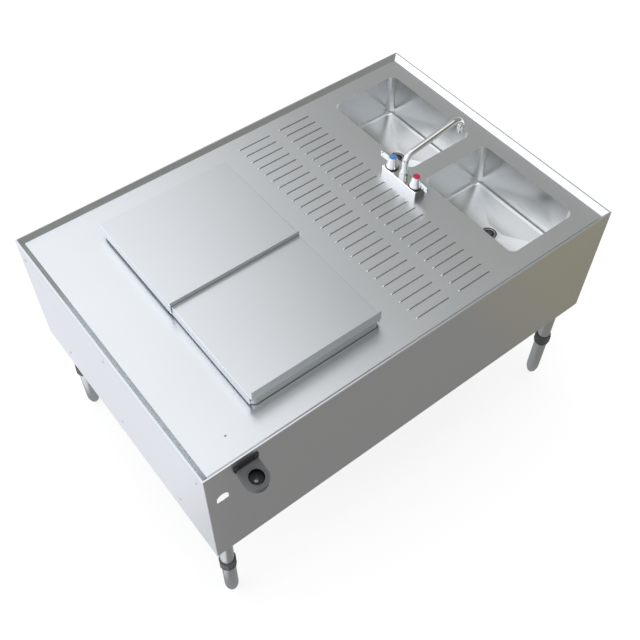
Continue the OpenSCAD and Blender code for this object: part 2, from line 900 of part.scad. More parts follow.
// An angle rail low inside the end panel, which carries two legs
module leg_rail() {
    rail_l = unit_d - 2 * sheet;
    difference() {
        union() {
            translate([sheet, sheet, rail_z])
                cube([leg_rail_w - sheet, rail_l, rail_t]);
            translate([sheet, sheet, rail_z])
                cube([rail_t, rail_l, leg_rail_h]);
        }
        at_end_screws()
            screw_clearance();
        for (y = [leg_y, unit_d - leg_y])
            translate([leg_x, y, rail_z - cut])
                cylinder(h = rail_t + 2 * cut, r = leg_r + slip_gap);
    }
}

module leg_rail_left() {
    color(GALVANISED)
        placed()
            leg_rail();
}

module leg_rail_right() {
    color(GALVANISED)
        placed()
            at_right_end()
                leg_rail();
}

// Hat-shaped stiffeners under the two columns of ribs
module deck_stiffeners() {
    hat_l = unit_d - 2 * hat_end;
    color(GALVANISED)
        placed()
            for (column = [0, 1])
                translate([rib_left_x + column * rib_column_apart, hat_end, under_z])
                    difference() {
                        union() {
                            translate([-hat_w / 2, 0, -rail_t])
                                cube([hat_w, hat_l, rail_t]);
                            translate([-hat_trough / 2 - rail_t, 0, -hat_h])
                                cube([hat_trough + 2 * rail_t, hat_l, hat_h]);
                        }
                        translate([-hat_trough / 2, -cut, rail_t - hat_h])
                            cube([hat_trough, hat_l + 2 * cut, hat_h]);
                    }
}

// Ice bin

module bin_liner() {
    color(STEEL)
        placed()
            at_bin()
                difference() {
                    union() {
                        difference() {
                            translate([0, 0, deck_z])
                                rounded_block(collar_w, collar_l, collar_h, collar_r);
                            translate([0, 0, deck_z - cut])
                                rounded_block(collar_w - 2 * sheet, collar_l - 2 * sheet,
                                              collar_h - sheet + cut, collar_r - sheet);
                        }
                        translate([0, 0, bin_floor_z - sheet])
                            pan(bin_w + 2 * sheet, bin_l + 2 * sheet, bin_deep + sheet,
                                bin_r + sheet, bin_cove + sheet);
                    }
                    translate([0, 0, bin_floor_z])
                        pan(bin_w, bin_l, bin_deep + cut, bin_r, bin_cove);
                    translate([0, 0, bin_floor_z - sheet - cut])
                        cylinder(h = sheet + 2 * cut, r = bin_body_r + hole_gap);
                }
}

module bin_insulation() {
    pocket_r = bin_r / 2;
    color("khaki")
        placed()
            at_bin()
                difference() {
                    translate([0, 0, foam_bottom_z])
                        rounded_block(foam_w, foam_l, under_z - foam_bottom_z, foam_r);
                    translate([0, 0, bin_floor_z - sheet])
                        rounded_block(bin_w + 2 * sheet, bin_l + 2 * sheet,
                                      under_z - bin_floor_z + sheet + cut, pocket_r);
                    translate([0, 0, foam_bottom_z - cut])
                        cylinder(h = foam_t + 2 * cut, r = bin_body_r + hole_gap);
                }
}

module bin_shell() {
    color(GALVANISED)
        placed()
            at_bin()
                difference() {
                    translate([0, 0, shell_bottom_z])
                        rounded_block(foam_w + 2 * sheet, foam_l + 2 * sheet,
                                      under_z - shell_bottom_z, foam_r + sheet);
                    translate([0, 0, foam_bottom_z])
                        rounded_block(foam_w, foam_l, under_z - foam_bottom_z + cut, foam_r / 2);
                    translate([0, 0, shell_bottom_z - cut])
                        cylinder(h = sheet + 2 * cut, r = bin_body_r + hole_gap);
                }
}

module bin_drain_body() {
    body_bottom = shell_bottom_z - bin_body_below;
    color(BRASS)
        placed()
            at_bin()
                difference() {
                    union() {
                        translate([0, 0, bin_floor_z])
                            cylinder(h = bin_drain_t, r = bin_drain_r);
                        translate([0, 0, body_bottom])
                            cylinder(h = bin_floor_z - body_bottom, r = bin_body_r);
                    }
                    translate([0, 0, body_bottom - cut])
                        cylinder(h = bin_floor_z - body_bottom + bin_drain_t + 2 * cut, r = bin_bore_r);
                    translate([0, 0, body_bottom - cut])
                        cylinder(h = bin_tail_in + cut, r = bin_tail_r - turned_down + slip_gap);
                }
}

module bin_drain_nut() {
    color(BRASS)
        placed()
            at_bin()
                translate([0, 0, shell_bottom_z - bin_nut_h])
                    hex_nut(bin_nut_r, bin_body_r + slip_gap, bin_nut_h);
}

module bin_tailpiece() {
    body_bottom = shell_bottom_z - bin_body_below;
    color(DARK_PLASTIC)
        placed()
            at_bin()
                translate([0, 0, body_bottom - bin_tail_out])
                    stepped_tube(bin_tail_r, bin_tail_wall, bin_tail_in, bin_tail_out);
}

// Lids

// A lid's top with a flange down each side
module lid_plate(half_w, y, l, top, flange_bottom, notch) {
    translate([-half_w, y, top - sheet])
        cube([2 * half_w, l, sheet]);
    for (x = [-half_w, half_w - sheet])
        translate([x, y + notch, flange_bottom])
            cube([sheet, l - notch, top - flange_bottom]);
}

module at_lids() {
    translate([bin_x, 0, deck_z])
        children();
}

module front_lid() {
    half_w = front_flange_x + sheet;
    color(LID_STEEL)
        placed()
            at_lids() {
                lid_plate(half_w, front_lid_y, front_lid_l, front_top, front_flange_gap, strip_notch);
                translate([strip_inset - half_w, front_lid_y, strip_bottom])
                    cube([2 * (half_w - strip_inset), sheet, strip_top - strip_bottom]);
            }
}

module rear_lid() {
    half_w = rear_flange_x + sheet;
    color(LID_STEEL)
        placed()
            at_lids() {
                lid_plate(half_w, rear_lid_y, rear_lid_l, rear_top, rear_flange_gap, 0);
                translate([-half_w, rear_lid_y, rear_top - sheet - rear_strip_hang])
                    cube([2 * half_w, sheet, rear_strip_h + sheet + rear_strip_hang]);
                translate([-half_w, rear_lid_y + rear_lid_l - sheet, rear_top - rear_flange_h])
                    cube([2 * half_w, sheet, rear_flange_h]);
            }
}

// A pair of strips inside a lid's side flanges, which slide along the deck
module glides(inner_x, y, l, flange_gap) {
    for (side = [0, 1])
        mirror([side, 0, 0])
            translate([inner_x, y + glide_end, glide_lift])
                cube([glide_t, l - 2 * glide_end, flange_gap + glide_grip - glide_lift]);
}

module front_lid_glides() {
    color(BLACK)
        placed()
            at_lids()
                glides(front_glide_x, front_lid_y, front_lid_l, front_flange_gap);
}

module rear_lid_glides() {
    color(BLACK)
        placed()
            at_lids()
                glides(rear_glide_x, rear_lid_y, rear_lid_l, rear_flange_gap);
}

// Sinks

// The floor's fall towards the drain, as a solid below z = 0
module floor_fall(below) {
    flat_w = bowl_w - 2 * bowl_cove - 2 * sheet;
    flat_l = bowl_l - 2 * bowl_cove - 2 * sheet;
    translate([0, 0, -bowl_fall - below])
        frustum([bowl_flat, bowl_flat], [flat_w, flat_l], bowl_fall);
}

module bowl(rear) {
    at_bowl(rear)
        difference() {
            union() {
                translate([0, 0, under_z - sheet])
                    rounded_block(bowl_w + 2 * bowl_flange, bowl_l + 2 * bowl_flange, sheet,
                                  bowl_r + bowl_flange);
                translate([0, 0, bowl_floor_z - sheet])
                    pan(bowl_w + 2 * sheet, bowl_l + 2 * sheet, bowl_deep, bowl_r + sheet,
                        bowl_cove + sheet);
                translate([0, 0, bowl_floor_z])
                    floor_fall(sheet);
            }
            translate([0, 0, bowl_floor_z])
                pan(bowl_w, bowl_l, bowl_deep + cut, bowl_r, bowl_cove);
            translate([0, 0, bowl_floor_z + cut / 4])
                floor_fall(cut / 4);
            translate([0, 0, bowl_low_z - 2 * cut])
                cylinder(h = 4 * cut, r = drain_body_r + hole_gap);
        }
}

module bowl_front() {
    color(STEEL)
        placed()
            bowl(false);
}

module bowl_rear() {
    color(STEEL)
        placed()
            bowl(true);
}

// A drain's flange and body, from the floor's lowest point
module drain_body(rear) {
    body_top = drain_t;
    body_bottom = -drain_body_h;
    color(CHROME)
        placed()
            at_bowl(rear)
                translate([0, 0, bowl_low_z])
                    difference() {
                        union() {
                            cylinder(h = drain_t, r = drain_r);
                            translate([0, 0, body_bottom])
                                cylinder(h = drain_body_h, r = drain_body_r);
                        }
                        translate([0, 0, body_top - grid_sunk - grid_t])
                            cylinder(h = grid_sunk + grid_t + cut, r = grid_seat_r);
                        translate([0, 0, body_bottom - cut])
                            cylinder(h = drain_body_h + drain_t, r = tail_r - tail_wall);
                        translate([0, 0, body_bottom - cut])
                            cylinder(h = tail_in + cut, r = tail_r - turned_down + slip_gap);
                    }
}

module drain_body_front() {
    drain_body(false);
}

module drain_body_rear() {
    drain_body(true);
}

module drain_grid(rear) {
    color(BLACK)
        placed()
            at_bowl(rear)
                translate([0, 0, bowl_low_z + drain_t - grid_sunk - grid_t])
                    difference() {
                        cylinder(h = grid_t, r = grid_seat_r - slip_gap);
                        translate([0, 0, -cut])
                            cylinder(h = grid_t + 2 * cut, r = grid_hole_r);
                        for (i = [1 : HEX])
                            rotate([0, 0, 360 * i / HEX])
                                translate([grid_ring_in, 0, -cut])
                                    cylinder(h = grid_t + 2 * cut, r = grid_hole_r);
                        for (i = [1 : 2 * HEX])
                            rotate([0, 0, 180 * i / HEX])
                                translate([grid_ring_out, 0, -cut])
                                    cylinder(h = grid_t + 2 * cut, r = grid_hole_r);
                    }
}

module drain_grid_front() {
    drain_grid(false);
}

module drain_grid_rear() {
    drain_grid(true);
}

module drain_gaskets() {
    color(BLACK)
        placed()
            for (rear = [false, true])
                at_bowl(rear)
                    translate([0, 0, bowl_low_z - sheet - gasket_t])
                        ring(gasket_r, drain_body_r + slip_gap, gasket_t);
}

module drain_nuts() {
    color(BRASS)
        placed()
            for (rear = [false, true])
                at_bowl(rear)
                    translate([0, 0, bowl_low_z - sheet - gasket_t - drain_nut_h])
                        hex_nut(drain_nut_r, drain_body_r + slip_gap, drain_nut_h);
}

module tailpiece(rear) {
    color(CHROME)
        placed()
            at_bowl(rear)
                translate([0, 0, bowl_low_z - drain_body_h - tail_out])
                    stepped_tube(tail_r, tail_wall, tail_in, tail_out);
}

module tailpiece_front() {
    tailpiece(false);
}

module tailpiece_rear() {
    tailpiece(true);
}

// Faucet

module at_faucet() {
    translate([faucet_x, faucet_y, 0])
        children();
}

// The pedestal's outer form, with a slope along its top edges
module pedestal_outline() {
    top = [pedestal_w - 2 * pedestal_bevel, pedestal_l - 2 * pedestal_bevel];
    translate([0, 0, deck_z])
        intersection() {
            rounded_block(pedestal_w, pedestal_l, pedestal_h, pedestal_r);
            frustum(top + 2 * [pedestal_h, pedestal_h], top, pedestal_h);
        }
}

module faucet_pedestal() {
    inside_w = pedestal_w - 2 * pedestal_wall;
    inside_l = pedestal_l - 2 * pedestal_wall;
    color(CHROME)
        placed()
            difference() {
                at_faucet()
                    difference() {
                        union() {
                            difference() {
                                pedestal_outline();
                                translate([0, 0, deck_z - cut])
                                    rounded_block(inside_w, inside_l, pedestal_h - pedestal_wall + cut,
                                                  pedestal_r - pedestal_wall);
                            }
                            translate([0, 0, pedestal_z - spigot_h - pedestal_wall / 2])
                                cylinder(h = spigot_h, r = boss_r);
                        }
                        translate([0, 0, deck_z - cut])
                            cylinder(h = pedestal_h + 2 * cut, r = spigot_r + turn_gap);
                    }
                for (cold = [false, true])
                    at_valve(cold)
                        translate([0, 0, deck_z])
                            cylinder(h = pedestal_h + cut, r = valve_neck_r + hole_gap);
            }
}

// A valve: threaded shank through the deck, hexagonal body and neck
module valve(cold) {
    color(BRASS)
        placed()
            at_valve(cold)
                difference() {
                    union() {
                        translate([0, 0, deck_z - shank_h])
                            cylinder(h = shank_h, r = shank_r - turned_down);
                        translate([0, 0, under_z - shank_nut_h - turned_gap])
                            cylinder(h = sheet + shank_nut_h + turned_gap, r = shank_r);
                        translate([0, 0, deck_z])
                            cylinder(h = valve_hex_h, r = valve_hex_r, $fn = HEX);
                        translate([0, 0, deck_z])
                            cylinder(h = neck_z - deck_z, r = valve_neck_r);
                    }
                    translate([0, 0, deck_z - shank_h - cut])
                        cylinder(h = shank_h, r = shank_bore_r);
                    translate([0, 0, neck_z - stem_in - cut])
                        cylinder(h = stem_in + 2 * cut, r = stem_r + turn_gap);
                }
}

module valve_cold() {
    valve(true);
}

module valve_hot() {
    valve(false);
}

module stem(cold) {
    color(BRASS)
        placed()
            at_valve(cold)
                translate([0, 0, neck_z - stem_in])
                    cylinder(h = stem_top_z - neck_z + stem_in, r = stem_r);
}

module stem_cold() {
    stem(true);
}

module stem_hot() {
    stem(false);
}

// A handle on its axis, its foot at z = 0 and its blade along +Y
module handle() {
    difference() {
        union() {
            cylinder(h = hub_foot, r = hub_r);
            translate([0, 0, hub_foot])
                cylinder(h = hub_h - hub_foot, r1 = hub_r, r2 = hub_top_r);
            translate([-blade_t / 2, 0, blade_bottom])
                rotate([90, 0, 90])
                    linear_extrude(blade_t)
                        polygon([[0, 0], [blade_reach, 0], [blade_reach, blade_tip_h],
                                 [hub_top_r, blade_root_h], [0, blade_root_h]]);
        }
        translate([0, 0, -cut])
            cylinder(h = hub_socket + cut, r = stem_r + turn_gap);
        translate([0, 0, hub_h - button_seat])
            cylinder(h = button_seat + cut, r = button_r + slip_gap);
    }
}

module handle_cold() {
    color(CHROME)
        placed()
            at_valve(true)
                translate([0, 0, hub_z])
                    handle();
}

module handle_hot() {
    color(CHROME)
        placed()
            at_valve(false)
                translate([0, 0, hub_z])
                    mirror([0, 1, 0])
                        handle();
}

// An index button, with a sloped edge
module button(cold, paint) {
    color(paint)
        placed()
            at_valve(cold)
                translate([0, 0, hub_z + hub_h - button_seat]) {
                    cylinder(h = button_h / 2, r = button_r);
                    translate([0, 0, button_h / 2])
                        cylinder(h = button_h / 2, r1 = button_r, r2 = button_r - button_h / 2);
                }
}

module button_cold() {
    button(true, "royalblue");
}

module button_hot() {
    button(false, "crimson");
}

module handle_rings() {
    color(BLACK)
        placed()
            for (cold = [false, true])
                at_valve(cold)
                    translate([0, 0, pedestal_z])
                        ring(hub_r, valve_neck_r + hole_gap, ring_h);
}

module shank_nuts() {
    color(BRASS)
        placed()
            for (cold = [false, true])
                at_valve(cold)
                    translate([0, 0, under_z - shank_nut_h])
                        hex_nut(shank_nut_r, shank_r + slip_gap, shank_nut_h);
}

module spout_nut() {
    color(CHROME)
        placed()
            at_faucet()
                translate([0, 0, pedestal_z])
                    ring(spout_nut_r, spigot_r + ring_gap, spout_nut_h);
}

// Section through the spout's tube, its wall thinner by thin on each face
module tube_section(thin = 0) {
    difference() {
        circle(spout_r - thin);
        circle(spout_r - spout_wall + thin);
    }
}

// A bend of the tube round the origin, from angle start through turn degrees
module tube_bend(radius, start, turn) {
    rotate([90, 0, 0])
        rotate([0, 0, start])
            rotate_extrude(angle = turn)
                translate([radius, 0])
                    tube_section(bend_thin);
}

// A straight stretch of the tube along +Z, which laps over the bend below it
module tube_stretch(l) {
    translate([0, 0, -tube_lap])
        linear_extrude(l + tube_lap)
            tube_section();
}

// Half the section of the spigot, the flared foot and the upright tube
module spout_foot_section() {
    spigot_z = pedestal_z - spigot_h;
    way_r = spout_r - spout_wall;
    spigot_way_r = spigot_r - spout_wall;
    top_z = bend_z + tube_lap;
    polygon([[spigot_way_r, spigot_z], [spigot_r, spigot_z], [spigot_r, spout_foot_z],
             [spout_foot_r, spout_foot_z], [spout_r, spout_foot_z + spout_foot_h],
             [spout_r, top_z], [way_r, top_z],
             [way_r, spout_foot_z + spout_foot_h], [spigot_way_r, spout_foot_z]]);
}

module spout() {
    color(CHROME)
        placed()
            at_faucet() {
                rotate_extrude()
                    spout_foot_section();
                translate([bend_r, 0, bend_z])
                    tube_bend(bend_r, 90 + arm_rise, 90 - arm_rise);
                translate([bend_end_x, 0, bend_end_z])
                    rotate([0, 90 - arm_rise, 0])
                        tube_stretch(arm_l + tube_lap);
                translate([spout_reach - outlet_bend_r, 0, drop_z])
                    tube_bend(outlet_bend_r, 0, 90 + arm_rise);
                translate([spout_reach, 0, drop_z])
                    mirror([0, 0, 1])
                        tube_stretch(drop_z - outlet_z - aerator_h + aerator_grip);
            }
}

module aerator() {
    color(CHROME)
        placed()
            at_faucet()
                translate([spout_reach, 0, outlet_z])
                    difference() {
                        cylinder(h = aerator_h, r = aerator_r);
                        translate([0, 0, -cut])
                            cylinder(h = aerator_h + 2 * cut, r = aerator_bore_r);
                        translate([0, 0, aerator_h - aerator_grip])
                            cylinder(h = aerator_grip + cut, r = spout_r + slip_gap);
                    }
}

// Holster

module holster_plate() {
    color(BLACK)
        placed()
            difference() {
                translate([holster_x - plate_w / 2, -plate_t, -plate_top - plate_h])
                    cube([plate_w, plate_t, plate_h]);
                at_plate_screws()
                    screw_clearance();
            }
}

// Moves its children to the middle of the cup's top, axis along the tilted bore
module at_cup() {
    translate([holster_x + cup_side, -cup_out, -cup_top])
        rotate([cup_tilt, 0, 0])
            children();
}

module holster_cup() {
    color(DARK_PLASTIC)
        placed()
            difference() {
                at_cup()
                    difference() {
                        union() {
                            translate([0, 0, -cup_h])
                                cylinder(h = cup_h, r = cup_r);
                            translate([-cup_r, 0, -cup_h])
                                cube([2 * cup_r, cup_out + cup_r, cup_h]);
                            cylinder(h = cup_ridge_h, r = cup_ridge_r);
                            translate([0, 0, -cup_h - outlet_h])
                                cylinder(h = outlet_h + cup_floor, r = outlet_r);
                        }
                        translate([0, 0, cup_floor - cup_h])
                            cylinder(h = cup_h, r = cup_bore_r);
                        translate([0, 0, -cup_h - outlet_h - cut])
                            cylinder(h = outlet_h + cup_h, r = outlet_bore_r);
                    }
                translate([0, -plate_t, -2 * cup_top - cup_h])
                    cube([unit_w, 2 * cup_r + cup_out, 2 * cup_top + cup_h]);
            }
}

module holster_screws() {
    color(GALVANISED)
        placed()
            at_plate_screws()
                screw();
}

// Legs

module at_left_legs() {
    for (y = [leg_y, unit_d - leg_y])
        translate([leg_x, y, 0])
            children();
}

module at_all_legs() {
    at_left_legs()
        children();
    at_right_end()
        at_left_legs()
            children();
}

module leg_sockets() {
    color(GALVANISED)
        placed()
            at_all_legs()
                translate([0, 0, socket_z])
                    difference() {
                        union() {
                            translate([-socket_flange / 2, -socket_flange / 2, 0])
                                cube([socket_flange, socket_flange, socket_t]);
                            cylinder(h = socket_h, r = leg_r + slip_gap + socket_wall);
                        }
                        translate([0, 0, -cut])
                            cylinder(h = socket_h - socket_t + cut, r = leg_r + slip_gap);
                        translate([0, 0, socket_h / 2])
                            rotate([0, 90, 0])
                                cylinder(h = 2 * leg_r, r = set_screw_r + slip_gap);
                    }
}

module leg_set_screws() {
    color(GALVANISED)
        placed()
            at_all_legs()
                translate([leg_r + slip_gap, 0, socket_z + socket_h / 2])
                    rotate([0, 90, 0])
                        cylinder(h = set_screw_l, r = set_screw_r);
}

module leg_tube() {
    color(STEEL)
        placed()
            translate([leg_x, leg_y, tube_bottom_z])
                ring(leg_r, leg_r - leg_wall, tube_top_z - tube_bottom_z);
}

module leg_front_left() {
    leg_tube();
}

module leg_front_right() {
    translate([unit_w - 2 * leg_x, 0, 0])
        leg_tube();
}

module leg_back_left() {
    translate([0, unit_d - 2 * leg_y, 0])
        leg_tube();
}

module leg_back_right() {
    translate([unit_w - 2 * leg_x, unit_d - 2 * leg_y, 0])
        leg_tube();
}

module leg_collars() {
    hex_z = leg_collar_foot;
    color(DARK_PLASTIC)
        placed()
            at_all_legs()
                translate([0, 0, leg_collar_z])
                    difference() {
                        union() {
                            cylinder(h = leg_collar_foot, r1 = foot_r + slip_gap, r2 = leg_collar_r);
                            translate([0, 0, hex_z])
                                cylinder(h = leg_collar_h - leg_collar_foot - leg_collar_top / 2,
                                         r = leg_hex_r, $fn = HEX);
                            translate([0, 0, leg_collar_h - leg_collar_top])
                                cylinder(h = leg_collar_top, r = leg_collar_r);
                        }
                        translate([0, 0, -cut])
                            cylinder(h = leg_collar_h, r = foot_stem_r + foot_gap);
                        translate([0, 0, leg_collar_h - leg_grip])
                            cylinder(h = leg_grip + cut, r = leg_r + slip_gap);
                    }
}

// Half the section of a foot's sleeve and its tapered end
module foot_section() {
    foot_h = leg_collar_z - floor_z;
    translate([0, foot_taper])
        square([foot_r, foot_h - foot_taper]);
    intersection() {
        translate([foot_r - foot_arc, foot_taper])
            circle(foot_arc, $fn = 4 * $fn);
        square([foot_r, foot_taper]);
    }
}

module foot() {
    foot_h = leg_collar_z - floor_z;
    color(STEEL)
        placed()
            translate([leg_x, leg_y, floor_z]) {
                difference() {
                    rotate_extrude()
                        foot_section();
                    translate([0, 0, foot_taper])
                        cylinder(h = foot_h, r = foot_r - foot_wall);
                }
                translate([0, 0, foot_taper / 2])
                    cylinder(h = foot_h - foot_taper / 2 + foot_stem_h, r = foot_stem_r);
            }
}

module foot_front_left() {
    foot();
}

module foot_front_right() {
    translate([unit_w - 2 * leg_x, 0, 0])
        foot();
}

module foot_back_left() {
    translate([0, unit_d - 2 * leg_y, 0])
        foot();
}

module foot_back_right() {
    translate([unit_w - 2 * leg_x, unit_d - 2 * leg_y, 0])
        foot();
}

module panel_screws() {
    color(GALVANISED)
        placed() {
            at_end_screws()
                screw();
            at_right_end()
                at_end_screws()
                    screw();
        }
}

deck_top();
front_panel();
back_panel();
end_panel_left();
end_panel_right();
end_rail_left();
end_rail_right();
leg_rail_left();
leg_rail_right();
deck_stiffeners();
bin_liner();
bin_insulation();
bin_shell();
bin_drain_body();
bin_drain_nut();
bin_tailpiece();
front_lid();
front_lid_glides();
rear_lid();
rear_lid_glides();
bowl_front();
bowl_rear();
drain_body_front();
drain_body_rear();
drain_grid_front();
drain_grid_rear();
drain_gaskets();
drain_nuts();
tailpiece_front();
tailpiece_rear();
faucet_pedestal();
valve_cold();
valve_hot();
stem_cold();
stem_hot();
handle_cold();
handle_hot();
button_cold();
button_hot();
handle_rings();
shank_nuts();
spout_nut();
spout();
aerator();
holster_plate();
holster_cup();
holster_screws();
leg_sockets();
leg_set_screws();
leg_front_left();
leg_front_right();
leg_back_left();
leg_back_right();
leg_collars();
foot_front_left();
foot_front_right();
foot_back_left();
foot_back_right();
panel_screws();
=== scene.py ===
import json
import math
import bpy
import bmesh
from mathutils import Matrix, Vector


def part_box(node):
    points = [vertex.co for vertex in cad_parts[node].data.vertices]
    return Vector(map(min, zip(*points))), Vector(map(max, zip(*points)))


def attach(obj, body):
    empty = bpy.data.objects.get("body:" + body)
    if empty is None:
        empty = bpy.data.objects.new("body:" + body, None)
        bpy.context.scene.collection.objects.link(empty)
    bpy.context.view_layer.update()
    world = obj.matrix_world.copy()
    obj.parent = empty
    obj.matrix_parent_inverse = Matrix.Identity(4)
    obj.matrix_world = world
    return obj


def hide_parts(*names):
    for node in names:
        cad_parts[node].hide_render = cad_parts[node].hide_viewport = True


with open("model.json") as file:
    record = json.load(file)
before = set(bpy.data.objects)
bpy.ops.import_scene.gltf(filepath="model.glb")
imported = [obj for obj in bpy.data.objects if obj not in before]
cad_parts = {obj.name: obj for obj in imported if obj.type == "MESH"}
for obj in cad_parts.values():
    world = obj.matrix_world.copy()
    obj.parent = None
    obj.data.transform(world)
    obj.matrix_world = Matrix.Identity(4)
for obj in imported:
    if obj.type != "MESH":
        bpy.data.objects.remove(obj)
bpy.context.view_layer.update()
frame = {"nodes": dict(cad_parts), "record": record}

NODES = frame["nodes"]

# Sizes in millimetres, measured from the front left corner of the rim's top. The row frame starts
# under the middle of the whole box, which reaches forward to the holster and back to the rim.
UNIT_W, UNIT_D, UNIT_H = 1371.6, 921.8, 801.9
BOX_MIDDLE_Y = 425.635
ORIGIN = (UNIT_W / 2, BOX_MIDDLE_Y, -UNIT_H)
MM = 0.001


def P(x, y, z):
    """A point of the unit in the row frame, in metres."""
    return Vector(((x - ORIGIN[0]) * MM, (y - ORIGIN[1]) * MM, (z - ORIGIN[2]) * MM))


def unit(v):
    """A point of the row frame back in the unit's millimetres."""
    return Vector((v.x / MM + ORIGIN[0], v.y / MM + ORIGIN[1], v.z / MM + ORIGIN[2]))


# Camera, fitted to the photograph's edges: its place and the directions of its frame

CAM_AT = Vector((-1.049049, -1.284392, 2.587651))
CAM_RIGHT = Vector((0.78768503, -0.61599209, 0.01029703))
CAM_UP = Vector((0.48531, 0.63070, 0.60556))
CAM_FORWARD = Vector((0.37950962, 0.47198706, -0.79573907))
CAM_LENS, CAM_SENSOR = 49.75, 36

cam_data = bpy.data.cameras.new("camera")
cam_data.lens = CAM_LENS
cam_data.sensor_width = CAM_SENSOR
cam_data.clip_end = 60
cam = bpy.data.objects.new("camera", cam_data)
bpy.context.scene.collection.objects.link(cam)
cam_turn = Matrix((CAM_RIGHT, CAM_UP, -CAM_FORWARD)).transposed().to_4x4()
cam.matrix_world = Matrix.Translation(CAM_AT) @ cam_turn
bpy.context.scene.camera = cam
bpy.context.scene.view_settings.view_transform = "Standard"


# Materials

class Tree:
    """Short calls for building a material's nodes."""

    def __init__(self, tree, clear=True):
        self.tree = tree
        if clear:
            self.tree.nodes.clear()

    def node(self, kind, **values):
        made = self.tree.nodes.new(kind)
        for key, value in values.items():
            setattr(made, key, value)
        return made

    def link(self, a, b):
        self.tree.links.new(a, b)

    def coords(self, scale=(1, 1, 1)):
        place = self.node("ShaderNodeTexCoord")
        mapping = self.node("ShaderNodeMapping")
        mapping.inputs["Scale"].default_value = scale
        self.link(place.outputs["Object"], mapping.inputs["Vector"])
        return mapping.outputs["Vector"]

    def noise(self, vector, scale, detail, rough):
        made = self.node("ShaderNodeTexNoise")
        made.inputs["Scale"].default_value = scale
        made.inputs["Detail"].default_value = detail
        made.inputs["Roughness"].default_value = rough
        self.link(vector, made.inputs["Vector"])
        return made.outputs["Fac"]

    def ramp(self, value, low, high, from_low=0.3, from_high=0.7):
        made = self.node("ShaderNodeMapRange")
        made.inputs["From Min"].default_value = from_low
        made.inputs["From Max"].default_value = from_high
        made.inputs["To Min"].default_value = low
        made.inputs["To Max"].default_value = high
        self.link(value, made.inputs["Value"])
        return made.outputs["Result"]

    def mix(self, fac, a, b):
        made = self.node("ShaderNodeMix", data_type="RGBA")
        for socket, value in (("Factor", fac), ("A", a), ("B", b)):
            target = [s for s in made.inputs if s.name == socket and s.enabled][0]
            if isinstance(value, bpy.types.NodeSocket):
                self.link(value, target)
            else:
                target.default_value = value
        return [s for s in made.outputs if s.enabled][0]

    def vector_math(self, operation, vector, other=None):
        made = self.node("ShaderNodeVectorMath", operation=operation)
        self.link(vector, made.inputs[0])
        if other is not None:
            made.inputs[1].default_value = other
        return made.outputs["Value" if operation == "LENGTH" else "Vector"]

    def bump(self, height, strength, distance):
        made = self.node("ShaderNodeBump")
        made.inputs["Strength"].default_value = strength
        made.inputs["Distance"].default_value = distance
        self.link(height, made.inputs["Height"])
        return made.outputs["Normal"]

    def finish(self, shader):
        out = self.node("ShaderNodeOutputMaterial")
        self.link(shader, out.inputs["Surface"])


def new_material(name):
    mat = bpy.data.materials.new(name)
    mat.use_nodes = True
    return mat, Tree(mat.node_tree)


def shade(colour, by):
    return (*[min(1.0, c * by) for c in colour], 1.0)


def metal(name, colour, rough, spread=0.02, brush=(1, 1, 1), grain=900, tint=0.012, bump=0.012):
    """Bare metal: fine grain drawn out along one direction, with cloudy variation."""
    mat, t = new_material(name)
    fine = t.noise(t.coords(brush), grain, 5, 0.6)
    broad = t.noise(t.coords(), 4, 3, 0.5)
    bsdf = t.node("ShaderNodeBsdfPrincipled")
    bsdf.inputs["Metallic"].default_value = 1.0
    mixed = t.mix(t.ramp(fine, 0, 1), shade(colour, 1 - tint), shade(colour, 1 + tint))
    mixed = t.mix(t.ramp(broad, 0, 0.5), mixed, shade(colour, 1 - tint))
    t.link(mixed, bsdf.inputs["Base Color"])
    grainy = t.node("ShaderNodeMath", operation="ADD")
    t.link(t.ramp(fine, -spread, spread), grainy.inputs[0])
    t.link(t.ramp(broad, rough - spread, rough + spread), grainy.inputs[1])
    t.link(grainy.outputs[0], bsdf.inputs["Roughness"])
    t.link(t.bump(fine, bump, 0.05 * MM), bsdf.inputs["Normal"])
    t.finish(bsdf.outputs["BSDF"])
    return mat


def plastic(name, colour, rough, grain=1600, depth=0.2, bump=0.2, tint=0.12):
    """Moulded plastic, rubber or foam with a fine matt grain, its depth in millimetres."""
    mat, t = new_material(name)
    fine = t.noise(t.coords(), grain, 3, 0.6)
    broad = t.noise(t.coords(), 30, 3, 0.5)
    bsdf = t.node("ShaderNodeBsdfPrincipled")
    cloudy = t.mix(t.ramp(broad, 0, 1), shade(colour, 1 - tint), shade(colour, 1 + tint))
    t.link(cloudy, bsdf.inputs["Base Color"])
    t.link(t.ramp(fine, rough - 0.06, rough + 0.06), bsdf.inputs["Roughness"])
    t.link(t.bump(fine, bump, depth * MM), bsdf.inputs["Normal"])
    t.finish(bsdf.outputs["BSDF"])
    return mat


def base_colour(mat):
    """The tree of a finished material, its shader's colour socket and what feeds it."""
    t = Tree(mat.node_tree, clear=False)
    bsdf = [n for n in t.tree.nodes if n.type == "BSDF_PRINCIPLED"][0]
    socket = bsdf.inputs["Base Color"]
    return t, socket, socket.links[0].from_socket


# Painted shade inside the holster cup's bore: its colour, and the width over which it fades
BORE_SHADE_BLACK = (0.006, 0.006, 0.007, 1)
BORE_SHADE_FADE = 0.6 * MM


def painted_bore_shade(mat, at, axis, radius):
    """Paints near-black shade into the plastic inside a bore, given by a point, an axis and a radius."""
    t, socket, was = base_colour(mat)
    place = t.node("ShaderNodeTexCoord")
    rel = t.vector_math("SUBTRACT", place.outputs["Object"], at)
    far = t.vector_math("LENGTH", t.vector_math("CROSS_PRODUCT", rel, axis))
    outside = t.ramp(far, 0, 1, radius, radius + BORE_SHADE_FADE)
    t.link(t.mix(outside, BORE_SHADE_BLACK, was), socket)
    return mat


